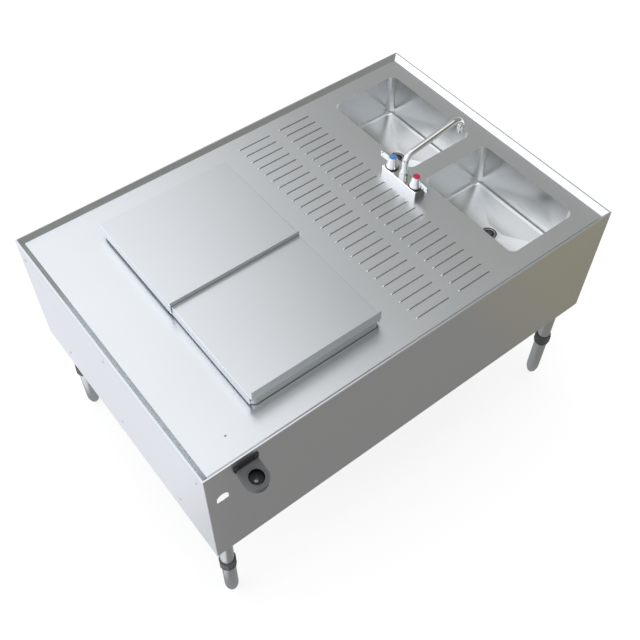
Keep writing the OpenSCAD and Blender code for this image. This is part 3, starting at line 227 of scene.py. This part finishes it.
def painted_shade_by_facing(mat, facing, low, high, side):
    """Paints shade into the metal's colour where it faces along Y, backwards (1) or forwards (-1), from low to high,
    blending towards the colour side.

    It matches the darker slopes and sides in the photograph; the real steel isn't known to be duller there.
    """
    t, socket, was = base_colour(mat)
    face = t.node("ShaderNodeNewGeometry")
    split = t.node("ShaderNodeSeparateXYZ")
    t.link(face.outputs["Normal"], split.inputs[0])
    steep = t.ramp(split.outputs["Y"], 0, 1, facing * low, facing * high)
    t.link(t.mix(steep, was, (*side, 1)), socket)
    return mat


HOLSTER_TILT = math.radians(10)
CUP_AXIS = (0, -math.sin(HOLSTER_TILT), math.cos(HOLSTER_TILT))
CUP_AT, CUP_BORE_R = P(117, -40, -46), 19.6 * MM

DECK_TONE = (0.85, 0.885, 0.93)
CHROME_TONE = (0.86, 0.87, 0.88)
GREY_TONE = (0.10, 0.107, 0.113)
ALONG_X, ALONG_Y, ALONG_Z, UPRIGHT_SHEET = (0.02, 1, 1), (1, 0.05, 1), (1, 1, 0.05), (0.02, 0.02, 1)
# Rolled sheet is more even in colour than the other metals
ROLLED = {"grain": 700, "tint": 0.006}

MATS = {
    # rib_steel, deck_steel and pedestal_chrome carry painted shade on the faces that face one way along Y
    "rib_steel": painted_shade_by_facing(metal("rib_steel", DECK_TONE, 0.2, spread=0.01, bump=0.004, **ROLLED),
                        -1, 0.2, 0.5, (0.22, 0.235, 0.24)),
    "deck_steel": painted_shade_by_facing(metal("deck_steel", DECK_TONE, 0.31, spread=0.012, brush=ALONG_X, bump=0.005, **ROLLED),
                         1, 0.5, 0.75, (0.42, 0.44, 0.46)),
    "panel_steel": metal("panel_steel", (0.80, 0.805, 0.805), 0.32, spread=0.006, brush=UPRIGHT_SHEET,
                         bump=0.004, **ROLLED),
    "lid_steel": metal("lid_steel", (0.81, 0.845, 0.89), 0.3, spread=0.012, brush=ALONG_X, bump=0.005, **ROLLED),
    "pedestal_chrome": painted_shade_by_facing(metal("pedestal_chrome", CHROME_TONE, 0.08), -1, 0.6, 0.9, (0.4, 0.41, 0.42)),
    "bin_steel": metal("bin_steel", (0.66, 0.68, 0.70), 0.3, brush=ALONG_X, grain=700),
    "bowl_steel": metal("bowl_steel", (0.83, 0.85, 0.87), 0.24, brush=ALONG_Y, grain=800),
    "galvanised_steel": metal("galvanised_steel", (0.60, 0.62, 0.63), 0.42, grain=160, tint=0.12),
    "leg_steel": metal("leg_steel", (0.72, 0.735, 0.745), 0.22, brush=ALONG_Z),
    "chrome": metal("chrome", CHROME_TONE, 0.06, grain=1400, bump=0.01),
    "brass": metal("brass", (0.78, 0.60, 0.32), 0.28, brush=(1, 1, 0.1), grain=1200),
    "foam": plastic("foam", (0.82, 0.76, 0.55), 0.9, grain=420, depth=1.0, bump=0.5),
    "black_plastic": plastic("black_plastic", (0.022, 0.025, 0.028), 0.42),
    "grey_plastic": plastic("grey_plastic", GREY_TONE, 0.45),
    # the holster cup's plastic has painted shade inside its bore
    "holster_cup": painted_bore_shade(plastic("holster_grey", GREY_TONE, 0.45), CUP_AT, CUP_AXIS, CUP_BORE_R),
    "rubber": plastic("rubber", (0.014, 0.014, 0.015), 0.6),
    "blue_plastic": plastic("blue_plastic", (0.06, 0.22, 0.62), 0.2, bump=0.05),
    "red_plastic": plastic("red_plastic", (0.55, 0.02, 0.06), 0.2, bump=0.05),
}
# Nodes that look unlike the rest of their slot; the pedestal's and the cup's looks carry painted shade
OWN_LOOK = {"holster_cup": "holster_cup", "holster_screws": "black_plastic", "faucet_pedestal": "pedestal_chrome"}

SLOT_OF = {s["node"]: s.get("material_slot") for s in frame["record"]["subparts"]}
for name, obj in NODES.items():
    obj.data.materials.clear()
    obj.data.materials.append(MATS[OWN_LOOK.get(name, SLOT_OF[name])])


# Pieces with finer meshes than the frame's

WELD = 2e-6
FLAT = math.radians(0.4)
DECK_Z = -15.0
SHEET = 1.2


def near(a, b, gap=0.02):
    return abs(a - b) < gap


def solid_copy(node):
    """The node's mesh, welded and with its flat faces made whole, ready for rounding."""
    bm = bmesh.new()
    bm.from_mesh(NODES[node].data)
    bmesh.ops.remove_doubles(bm, verts=bm.verts, dist=WELD)
    bmesh.ops.dissolve_limit(bm, angle_limit=FLAT, verts=bm.verts, edges=bm.edges)
    return bm


def bevel(bm, edges, radius, segments):
    bmesh.ops.bevel(bm, geom=edges, offset=radius * MM, offset_type="OFFSET", segments=segments,
                    profile=0.5, affect="EDGES", clamp_overlap=True)


def inner_edges(bm, wanted):
    """The edges between two faces for which wanted(a, b) is true, a and b in the unit's millimetres."""
    return [e for e in bm.edges if len(e.link_faces) == 2 and wanted(unit(e.verts[0].co), unit(e.verts[1].co))]


def sharp_edges(bm, degrees):
    angle = math.radians(degrees)
    return [e for e in bm.edges if len(e.link_faces) == 2 and e.calc_face_angle(0) > angle]


def bridge(bm, rings):
    """Faces between closed rings of vertices, each ring next to the one before."""
    n = len(rings[0])
    for a, b in zip(rings, rings[1:]):
        for i in range(n):
            j = (i + 1) % n
            bm.faces.new((a[i], a[j], b[j], b[i]))


def piece(bm, name, body, slot_name, *nodes, flat=False):
    """Turns the mesh into a piece that rides on a body and stands for CAD nodes."""
    mesh = bpy.data.meshes.new(name)
    bm.to_mesh(mesh)
    bm.free()
    obj = bpy.data.objects.new(name, mesh)
    bpy.context.scene.collection.objects.link(obj)
    obj.data.materials.append(MATS[slot_name])
    if flat:
        mesh.shade_flat()
    else:
        mesh.shade_smooth()
        mesh.set_sharp_from_angle(angle=math.radians(38))
        weigh = obj.modifiers.new("even_normals", "WEIGHTED_NORMAL")
        weigh.keep_sharp = True
        weigh.weight = 100
    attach(obj, body)
    if nodes:
        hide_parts(*nodes)
    return obj


# Lids

BIN_X, BIN_Y = 405.6, 452.2
FRONT_LID_HALF, FRONT_LID_TOP = 201.7, 25.2
REAR_LID_HALF, REAR_LID_TOP = 204.6, 28.5
LID_BEND, LID_EDGE = 3.6, 0.35


def lid(node, body, half, top):
    """A lid with its two side bends rounded outside and inside, and its cut edges eased."""
    bm = solid_copy(node)

    def side_bend(a, b):
        runs_along_y = near(a.x, b.x) and near(a.z, b.z) and not near(a.y, b.y, 3)
        off = abs(a.x - BIN_X)
        outer = near(off, half) and near(a.z, top)
        inner = near(off, half - SHEET) and near(a.z, top - SHEET)
        return runs_along_y and (outer or inner)

    bevel(bm, inner_edges(bm, side_bend), LID_BEND, 5)
    bevel(bm, sharp_edges(bm, 50), LID_EDGE, 2)
    piece(bm, node + "_sheet", body, "lid_steel", node)


lid("front_lid", "front_lid_body", FRONT_LID_HALF, FRONT_LID_TOP)
lid("rear_lid", "rear_lid_body", REAR_LID_HALF, REAR_LID_TOP)


# Deck and ribs

RIB_X = (751.2, 899.7)
RIB_FRONT, RIB_PITCH, RIBS = 62.5, 33.125, 25
RIB_BACK = RIB_FRONT + RIB_PITCH * (RIBS - 1)
RIB_L, RIB_W, RIB_H = 115.3, 4.2, 1.9
RIB_SUNK = 0.02
# The ends run out over RIB_END from RIB_OUT beyond the rib's length, and swell to RIB_SWELL times its width
RIB_END, RIB_OUT, RIB_SWELL, RIB_TIP = 7.0, 0.6, 0.5, 0.15
RIB_ROUND = 0.62
RIB_ACROSS, RIB_END_STEPS = 10, 10


def rib(bm, x, y):
    """One pressed bead: steep sides, and ends that run out like the bowl of a spoon."""
    outline = []
    for i in range(RIB_END_STEPS + 1):
        part = i / RIB_END_STEPS
        wide = 1 + RIB_SWELL * math.sin(part * math.pi)
        outline.append((-RIB_L / 2 - RIB_OUT + RIB_END * part, math.sin(part * math.pi / 2), wide))
    stations = outline + [(-p, k, w) for p, k, w in reversed(outline)]
    rows = []
    for along_x, k, wide in stations:
        row = []
        for j in range(RIB_ACROSS + 1):
            t = j / RIB_ACROSS * 2 - 1
            height = RIB_H * k * (1 - t * t) ** RIB_ROUND
            side = RIB_W / 2 * wide * max(k ** 0.5, RIB_TIP) * t
            row.append(bm.verts.new(P(x + along_x, y + side, DECK_Z + height - RIB_SUNK)))
        rows.append(row)
    for a, b in zip(rows, rows[1:]):
        for j in range(RIB_ACROSS):
            bm.faces.new((a[j], b[j], b[j + 1], a[j + 1]))


RIM_FOLD_R, RIM_BAND, RIM_FOLD_MIN = 0.9, 30, 300


def deck():
    """The deck's sheet: its plain ribs are flattened, since deck_ribs stands for them."""
    bm = solid_copy("deck_top")
    for v in bm.verts:
        at = unit(v.co)
        in_column = any(abs(at.x - x) < RIB_L / 2 + 0.5 for x in RIB_X)
        if in_column and RIB_FRONT - 3 < at.y < RIB_BACK + 3 and at.z > DECK_Z + 0.001:
            v.co.z = P(0, 0, DECK_Z).z
    bmesh.ops.dissolve_degenerate(bm, dist=1e-6, edges=bm.edges)
    bmesh.ops.dissolve_limit(bm, angle_limit=FLAT, verts=bm.verts, edges=bm.edges)

    def rim_fold(a, b):
        edge = min(a.x, UNIT_W - a.x, a.y, UNIT_D - a.y, b.x, UNIT_W - b.x, b.y, UNIT_D - b.y)
        on_rim = edge < RIM_BAND and a.z > DECK_Z - 2 and near(a.z, b.z)
        return on_rim and (a - b).length > RIM_FOLD_MIN

    bevel(bm, inner_edges(bm, rim_fold), RIM_FOLD_R, 4)
    piece(bm, "deck_sheet", "cabinet", "deck_steel", "deck_top", flat=True)


def ribs():
    bm = bmesh.new()
    for x in RIB_X:
        for i in range(RIBS):
            rib(bm, x, RIB_FRONT + RIB_PITCH * i)
    made = piece(bm, "deck_ribs", "cabinet", "deck_steel")
    made.data.materials[0] = MATS["rib_steel"]


deck()
ribs()


# Panels

PANEL_FOLD_R, PANEL_FOLD_MIN = 0.5, 60


def panel(node):
    """A sheet panel with its long folds rounded and its faces dead flat round the screw holes."""
    bm = solid_copy(node)
    folds = [e for e in sharp_edges(bm, 35)
             if (unit(e.verts[0].co) - unit(e.verts[1].co)).length > PANEL_FOLD_MIN]
    bevel(bm, folds, PANEL_FOLD_R, 3)
    piece(bm, node + "_sheet", "cabinet", "panel_steel", node, flat=True)


for name in ("front_panel", "back_panel", "end_panel_left", "end_panel_right"):
    panel(name)


# Painted shade: a thin dark bead at the foot of the bin's collar

COLLAR_HALF_X, COLLAR_HALF_Y, COLLAR_R = 198.8, 350.5, 18
CORNER_STEPS = 8
SHADOW_BEAD_PROFILE = ((-0.2, -14.9), (0.1, -13.6), (0.6, -13.4), (1.2, -13.9), (1.7, -15.0))


def rounded_loop(cx, cy, half_x, half_y, radius):
    """Points of a rectangle with round corners, in the unit's millimetres."""
    points = []
    for corner, (sx, sy) in enumerate(((1, 1), (-1, 1), (-1, -1), (1, -1))):
        for i in range(CORNER_STEPS + 1):
            a = math.radians(90 * corner + 90 * i / CORNER_STEPS)
            points.append((cx + sx * (half_x - radius) + radius * math.cos(a),
                           cy + sy * (half_y - radius) + radius * math.sin(a)))
    return points


def swept_loop(name, body, slot_name, loops, *nodes):
    """A closed band from loops of points that lie one outside or above the other."""
    bm = bmesh.new()
    bridge(bm, [[bm.verts.new(P(*point)) for point in loop] for loop in loops])
    bmesh.ops.recalc_face_normals(bm, faces=bm.faces)
    piece(bm, name, body, slot_name, *nodes)


def collar_shadow_bead():
    """A thin dark grey bead where the bin's collar comes up out of the deck, as painted shade for the contact line
    there.
    """
    loops = []
    for out, z in SHADOW_BEAD_PROFILE:
        loop = rounded_loop(BIN_X, BIN_Y, COLLAR_HALF_X + out, COLLAR_HALF_Y + out, COLLAR_R + out)
        loops.append([(x, y, z) for x, y in loop])
    swept_loop("collar_shadow_bead", "cabinet", "grey_plastic", loops)


collar_shadow_bead()


# Faucet

FAUCET_X, FAUCET_Y, HANDLE_APART = 994.8, 457.0, 101.6
TURNED_STEPS = 48
SEAL_PROFILE = ((17.6, 15.4), (19.5, 15.2), (20.1, 14.6), (20.1, 11.6), (19.6, 11.0), (15.0, 11.0), (15.0, 13.2),
                (17.6, 15.4))


def turned_loops(x, y, profile):
    """Rings of points about an upright axis, from pairs of radius and height."""
    turns = [2 * math.pi * i / TURNED_STEPS for i in range(TURNED_STEPS)]
    return [[(x + radius * math.cos(a), y + radius * math.sin(a), z) for a in turns] for radius, z in profile]


def turned(name, body, slot_name, x, y, profile, *nodes):
    """A piece turned about an upright axis."""
    swept_loop(name, body, slot_name, turned_loops(x, y, profile), *nodes)


def handle_seals():
    """The black rings under the two handles, as one piece."""
    bm = bmesh.new()
    for side in (-1, 1):
        loops = turned_loops(FAUCET_X, FAUCET_Y + side * HANDLE_APART / 2, SEAL_PROFILE)
        bridge(bm, [[bm.verts.new(P(*point)) for point in loop] for loop in loops])
    bmesh.ops.recalc_face_normals(bm, faces=bm.faces)
    piece(bm, "handle_seals", "cabinet", "black_plastic", "handle_rings")


handle_seals()

SPOUT_R, RISER_BEND_R, OUTLET_BEND_R = 9.5, 30.0, 30.0
ARM_RISE = math.radians(10.3)
SPOUT_FOOT_Z, RISER_TOP_Z, OUTLET_X, AERATOR_Z = 29.4, 60.8, 1207.0, 69.0
# Height over the foot and radius of the turned part at the spout's lower end
SPOUT_FOOT = ((0, 12.5), (3, 12.4), (9, 10.8), (14, SPOUT_R))
RISER_BEND_STEPS, ARM_STEPS, OUTLET_STEPS, TUBE_STEPS = 12, 12, 20, 40


def spout_path():
    """Centre line of the spout in its upright plane, as x, z and the tube's radius."""
    path = [(FAUCET_X, SPOUT_FOOT_Z + up, radius) for up, radius in SPOUT_FOOT]
    path.append((FAUCET_X, RISER_TOP_Z - 6, SPOUT_R))
    for i in range(RISER_BEND_STEPS + 1):
        a = (math.pi / 2 - ARM_RISE) * i / RISER_BEND_STEPS
        path.append((FAUCET_X + RISER_BEND_R * (1 - math.cos(a)), RISER_TOP_Z + RISER_BEND_R * math.sin(a), SPOUT_R))
    arm_x, arm_z, _ = path[-1]
    end_x = OUTLET_X - OUTLET_BEND_R * (1 + math.sin(ARM_RISE))
    end_z = arm_z + (end_x - arm_x) * math.tan(ARM_RISE)
    for i in range(1, ARM_STEPS):
        part = i / ARM_STEPS
        path.append((arm_x + (end_x - arm_x) * part, arm_z + (end_z - arm_z) * part, SPOUT_R))
    bend_x = end_x + OUTLET_BEND_R * math.sin(ARM_RISE)
    bend_z = end_z - OUTLET_BEND_R * math.cos(ARM_RISE)
    for i in range(OUTLET_STEPS + 1):
        a = (math.pi / 2 + ARM_RISE) * (1 - i / OUTLET_STEPS)
        path.append((bend_x + OUTLET_BEND_R * math.cos(a), bend_z + OUTLET_BEND_R * math.sin(a), SPOUT_R))
    path.append((OUTLET_X, AERATOR_Z + 12, SPOUT_R))
    return path


def spout():
    """A round tube along the spout's centre line, closed at both ends."""
    path = spout_path()
    side = Vector((0, 1, 0))
    bm = bmesh.new()
    rings = []
    for i, (x, z, radius) in enumerate(path):
        before, after = path[max(0, i - 1)], path[min(len(path) - 1, i + 1)]
        up = Vector((after[0] - before[0], 0, after[1] - before[1])).normalized().cross(side)
        ring = []
        for j in range(TUBE_STEPS):
            a = 2 * math.pi * j / TUBE_STEPS
            at = side * (radius * math.cos(a)) + up * (radius * math.sin(a))
            ring.append(bm.verts.new(P(x + at.x, FAUCET_Y + at.y, z + at.z)))
        rings.append(ring)
    bridge(bm, rings)
    bm.faces.new(rings[0])
    bm.faces.new(rings[-1])
    bmesh.ops.recalc_face_normals(bm, faces=bm.faces)
    piece(bm, "spout_tube", "swing_spout", "chrome", "spout")


# Radius and height over the aerator's lower edge
AERATOR_SHELL = ((6.5, 3), (8.6, 0), (10.2, 0), (11.0, 0.8), (11.3, 5.5), (11.3, 9.5), (10.9, 10), (10.9, 11),
                 (11.5, 11.6), (11.5, 14.4), (11.0, 15.6), (9.5, 16.4))
AERATOR_SCREEN = ((0.2, 3.2), (3.5, 3.0), (6.8, 2.6))


def raised(profile, z):
    return [(radius, z + up) for radius, up in profile]


spout()
turned("aerator_shell", "swing_spout", "chrome", OUTLET_X, FAUCET_Y, raised(AERATOR_SHELL, AERATOR_Z), "aerator")
turned("aerator_screen", "swing_spout", "black_plastic", OUTLET_X, FAUCET_Y, raised(AERATOR_SCREEN, AERATOR_Z))


# Drains: a bright chrome bead, and a black dish that is painted shade for the recess round the grid, as radius and
# height over the drain body's top

BOWL_X, BOWL_YS = 1173.7, {"front": 248.8, "rear": 668.3}
DRAIN_TRIM = ((27.0, -2.0), (27.0, -0.2), (26.4, 0.7), (25.2, 1.1), (24.0, 0.7), (23.4, -0.1))
DRAIN_SHADE_DISH = ((23.5, 0.15), (21.5, 0.25), (19.0, 0.1), (17.2, -0.6))

for where, bowl_y in BOWL_YS.items():
    drain_z = unit(Vector(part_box("drain_body_" + where)[1])).z
    turned("drain_trim_" + where, "cabinet", "chrome", BOWL_X, bowl_y, raised(DRAIN_TRIM, drain_z))
    turned("drain_shade_dish_" + where, "cabinet", "black_plastic", BOWL_X, bowl_y, raised(DRAIN_SHADE_DISH, drain_z))


# Holster

PLATE_X, PLATE_TOP, PLATE_T = (79.0, 151.0), -19.0, 2.9
PLATE_STRAIGHT, PLATE_CORNER = 17, 2
PLATE_FOOT_Z, PLATE_FOOT_HALF, PLATE_FOOT_R = -57.0, 25.65, 21
PLATE_FOOT_STEPS = 8


def back_plate():
    """The holster's black back plate, which narrows behind the cup."""
    left, right = PLATE_X
    low, corner = PLATE_TOP - PLATE_STRAIGHT, PLATE_TOP - PLATE_CORNER
    outline = [(left + PLATE_CORNER, PLATE_TOP), (right - PLATE_CORNER, PLATE_TOP), (right, corner), (right, low)]
    for i in range(PLATE_FOOT_STEPS + 1):
        a = math.radians(-20 - 140 * i / PLATE_FOOT_STEPS)
        foot_x, foot_z = PLATE_FOOT_HALF * math.cos(a), PLATE_FOOT_R * math.sin(a)
        outline.append(((left + right) / 2 + foot_x, PLATE_FOOT_Z + foot_z))
    outline += [(left, low), (left, corner)]
    bm = bmesh.new()
    front = [bm.verts.new(P(x, -PLATE_T, z)) for x, z in outline]
    back = [bm.verts.new(P(x, 0.0, z)) for x, z in outline]
    bm.faces.new(front)
    bm.faces.new(list(reversed(back)))
    bridge(bm, [front, back])
    bmesh.ops.recalc_face_normals(bm, faces=bm.faces)
    bevel(bm, sharp_edges(bm, 60), 0.5, 2)
    piece(bm, "holster_back", "cabinet", "black_plastic", "holster_plate")


back_plate()


# Small radii on the frame's own nodes, which keep their shape

ROUNDED = {
    "faucet_pedestal": 0.6, "handle_cold": 0.5, "handle_hot": 0.5, "button_cold": 0.6, "button_hot": 0.6,
    "spout_nut": 0.6, "holster_cup": 0.7, "leg_collars": 0.7,
    "drain_body_front": 1.1, "drain_body_rear": 1.1, "bin_liner": 0.4,
}
for name, width in ROUNDED.items():
    obj = NODES[name]
    weld = obj.modifiers.new("weld", "WELD")
    weld.merge_threshold = WELD
    soft = obj.modifiers.new("rounded", "BEVEL")
    soft.width = width * MM
    soft.segments = 2
    soft.limit_method = "ANGLE"
    soft.angle_limit = math.radians(35)
    soft.use_clamp_overlap = True
    even = obj.modifiers.new("even_normals", "WEIGHTED_NORMAL")
    even.weight = 100


# Studio

DAYLIGHT, WHITE_BACKGROUND = 0.72, 1.0
FLOOR_SIZE, FLOOR_COLOUR, FLOOR_GLOW = 30, (0.34, 0.34, 0.34, 1), 0.76
MIDDLE = (0, 0, 0.75)


def background_rays(t):
    """1 for the rays that should see the plain white studio: camera, glossy and transmission."""
    path = t.node("ShaderNodeLightPath")
    first = t.node("ShaderNodeMath", operation="MAXIMUM")
    t.link(path.outputs["Is Camera Ray"], first.inputs[0])
    t.link(path.outputs["Is Glossy Ray"], first.inputs[1])
    second = t.node("ShaderNodeMath", operation="MAXIMUM")
    t.link(first.outputs[0], second.inputs[0])
    t.link(path.outputs["Is Transmission Ray"], second.inputs[1])
    return second.outputs[0]


def studio_world():
    world = bpy.data.worlds.new("studio")
    world.use_nodes = True
    bpy.context.scene.world = world
    t = Tree(world.node_tree)
    level = t.ramp(background_rays(t), DAYLIGHT, WHITE_BACKGROUND, 0, 1)
    back = t.node("ShaderNodeBackground")
    back.inputs["Color"].default_value = (1, 1, 1, 1)
    t.link(level, back.inputs["Strength"])
    out = t.node("ShaderNodeOutputWorld")
    t.link(back.outputs["Background"], out.inputs["Surface"])


def grid_mesh(name, w, l):
    """A flat rectangle in the scene, centred on the origin."""
    mesh = bpy.data.meshes.new(name)
    corners = [(-w / 2, -l / 2, 0), (w / 2, -l / 2, 0), (w / 2, l / 2, 0), (-w / 2, l / 2, 0)]
    mesh.from_pydata(corners, [], [(0, 1, 2, 3)])
    obj = bpy.data.objects.new(name, mesh)
    bpy.context.scene.collection.objects.link(obj)
    return obj


def studio_floor():
    floor = grid_mesh("floor", FLOOR_SIZE, FLOOR_SIZE)
    mat, t = new_material("floor")
    plain = t.node("ShaderNodeBsdfDiffuse")
    plain.inputs["Color"].default_value = FLOOR_COLOUR
    glow = t.node("ShaderNodeEmission")
    lit = t.node("ShaderNodeMath", operation="MULTIPLY")
    lit.inputs[1].default_value = FLOOR_GLOW
    t.link(background_rays(t), lit.inputs[0])
    t.link(lit.outputs[0], glow.inputs["Strength"])
    both = t.node("ShaderNodeAddShader")
    t.link(plain.outputs[0], both.inputs[0])
    t.link(glow.outputs[0], both.inputs[1])
    t.finish(both.outputs[0])
    floor.data.materials.append(mat)


def toward(azimuth, elevation, distance, centre=MIDDLE):
    """A point seen from the centre at that azimuth, from +X towards +Y, and elevation."""
    a, e = math.radians(azimuth), math.radians(elevation)
    return Vector(centre) + distance * Vector((math.cos(e) * math.cos(a), math.cos(e) * math.sin(a), math.sin(e)))


def lamp(name, at, size, watts, colour=(1, 1, 1)):
    """A soft area lamp that shines on the unit, and that reflections don't see."""
    data = bpy.data.lights.new(name, "AREA")
    data.shape = "RECTANGLE"
    data.size, data.size_y = size
    data.energy = watts
    data.color = colour
    obj = bpy.data.objects.new(name, data)
    bpy.context.scene.collection.objects.link(obj)
    obj.location = at
    obj.rotation_mode = "QUATERNION"
    obj.rotation_quaternion = (Vector(MIDDLE) - Vector(at)).to_track_quat("-Z", "Y")
    obj.visible_camera = False
    obj.visible_glossy = False


def smooth(value, low, high):
    """0 below low, 1 above high, with an eased ramp between them."""
    t = min(1.0, max(0.0, (value - low) / (high - low)))
    return t * t * (3 - 2 * t)


def band(value, low, full, fall, end):
    """0 outside low to end, 1 from full to fall."""
    return smooth(value, low, full) * (1 - smooth(value, fall, end))


SKY_GREY, SKY_RISE = 0.30, 0.76
SKY_BACK_GREY, SKY_BACK_RISE = 0.33, 0.73
SKY_SLANT = 0.73
SKY_WARMTH = 0.012


def sky_tone(az, el):
    """Brightness of the studio that reflections see: white at the left, grey at the right and in front.

    Azimuth and elevation in degrees, the azimuth from +X towards +Y. Set against the photograph.
    """
    if az > -60:
        slanted = az + SKY_SLANT * (el - 50)
        tone = SKY_GREY + SKY_RISE * smooth(slanted, 44, 77) * smooth(el, 2, 26)
        tone = max(tone, SKY_GREY + SKY_RISE * smooth(az, 84, 112))
    else:
        tone = SKY_BACK_GREY + SKY_BACK_RISE * smooth(-az, 104, 150)
    # darker just over the floor in front
    tone -= 0.27 * band(az, -110, -80, -25, 5) * (1 - smooth(el, 4, 15))
    # darker patch at the back left, which the deck mirrors beside the lids
    tone -= 0.18 * smooth(az, 96, 112) * band(el, 40, 50, 66, 74)
    # darker in front, for the front lid's strip and the lower side of the spout
    front = band(az, -100, -85, -42, -25)
    tone -= 0.15 * front * band(el, 36, 44, 56, 61)
    tone -= 0.20 * front * band(el, 25, 33, 36, 44)
    # white overhead
    tone += max(0, 1 - tone) * smooth(el, 61, 69)
    # bright low patch at the left, which gives the ribs' ends their glint
    return tone + 0.8 * band(az, 112, 128, 168, 180) * band(el, 14, 24, 38, 48)


def only_reflections(obj):
    for seen_by in ("camera", "diffuse", "shadow", "transmission", "volume_scatter"):
        setattr(obj, "visible_" + seen_by, False)


def dome(name, radius, step=3):
    """A painted studio wall and ceiling that only reflections see."""
    mesh = bpy.data.meshes.new(name)
    rows = list(range(0, 91, step))
    around = list(range(-180, 180, step))
    points, tones, faces = [], [], []
    for el in rows:
        for az in around:
            points.append(toward(az, el, radius, (0, 0, 0)))
            tones.append(sky_tone(az, el))
    n = len(around)
    for i in range(len(rows) - 1):
        for j in range(n):
            k = (j + 1) % n
            faces.append((i * n + j, (i + 1) * n + j, (i + 1) * n + k, i * n + k))
    mesh.from_pydata(points, [], faces)
    layer = mesh.color_attributes.new("tone", "FLOAT_COLOR", "POINT")
    for i, tone in enumerate(tones):
        warm = SKY_WARMTH * max(0, 1 - tone)
        layer.data[i].color = (tone + warm, tone + warm, tone - 2 * warm, 1)
    obj = bpy.data.objects.new(name, mesh)
    bpy.context.scene.collection.objects.link(obj)
    mat, t = new_material(name)
    paint = t.node("ShaderNodeAttribute", attribute_name="tone")
    glow = t.node("ShaderNodeEmission")
    t.link(paint.outputs["Color"], glow.inputs["Color"])
    t.finish(glow.outputs[0])
    mesh.materials.append(mat)
    only_reflections(obj)


def floor_card(name, x, y, z, colour, soft):
    """A card on the floor that only reflections see, between those x and those y in metres.

    It fades out over the last soft metres along each axis.
    """
    size = (x[1] - x[0], y[1] - y[0])
    obj = grid_mesh(name, *size)
    obj.location = ((x[0] + x[1]) / 2, (y[0] + y[1]) / 2, z)
    mat, t = new_material(name)
    place = t.node("ShaderNodeTexCoord")
    split = t.node("ShaderNodeSeparateXYZ")
    t.link(place.outputs["Object"], split.inputs[0])
    cover = t.node("ShaderNodeMath", operation="MULTIPLY")
    for i, axis in enumerate("XY"):
        away = t.node("ShaderNodeMath", operation="ABSOLUTE")
        t.link(split.outputs[axis], away.inputs[0])
        t.link(t.ramp(away.outputs[0], 1, 0, size[i] / 2 - soft[i], size[i] / 2), cover.inputs[i])
    clear = t.node("ShaderNodeBsdfTransparent")
    grey = t.node("ShaderNodeEmission")
    grey.inputs["Color"].default_value = (*colour, 1)
    mix = t.node("ShaderNodeMixShader")
    t.link(cover.outputs[0], mix.inputs[0])
    t.link(clear.outputs[0], mix.inputs[1])
    t.link(grey.outputs[0], mix.inputs[2])
    t.finish(mix.outputs[0])
    obj.data.materials.append(mat)
    only_reflections(obj)


studio_world()
studio_floor()
lamp("key", toward(104, 48, 3.6), (2.8, 2.6), 27, (0.95, 0.975, 1.0))
lamp("side", toward(165, 24, 3.6), (2.6, 1.8), 22, (0.97, 0.985, 1.0))
lamp("top", (0.2, 0.0, 4.2), (2.2, 1.6), 22)
dome("studio_wall", 9)
floor_card("card_left", (-2.1, -0.6), (-0.9, 1.7), 0.008, (0.90, 0.93, 1.0), (0.2, 0.3))
floor_card("card_corner", (-1.2, -0.7), (-0.55, 0.0), 0.010, (0.70, 0.72, 0.75), (0.1, 0.2))
floor_card("card_under", (-0.74, 0.86), (-0.5, 0.6), 0.012, (0.34, 0.345, 0.35), (0.05, 0.05))
floor_card("card_front", (-0.75, 2.0), (-2.2, -0.36), 0.014, (0.25, 0.25, 0.247), (0.06, 0.1))
floor_card("card_right", (0.55, 2.2), (-2.2, -0.36), 0.016, (0.29, 0.272, 0.215), (0.4, 0.1))
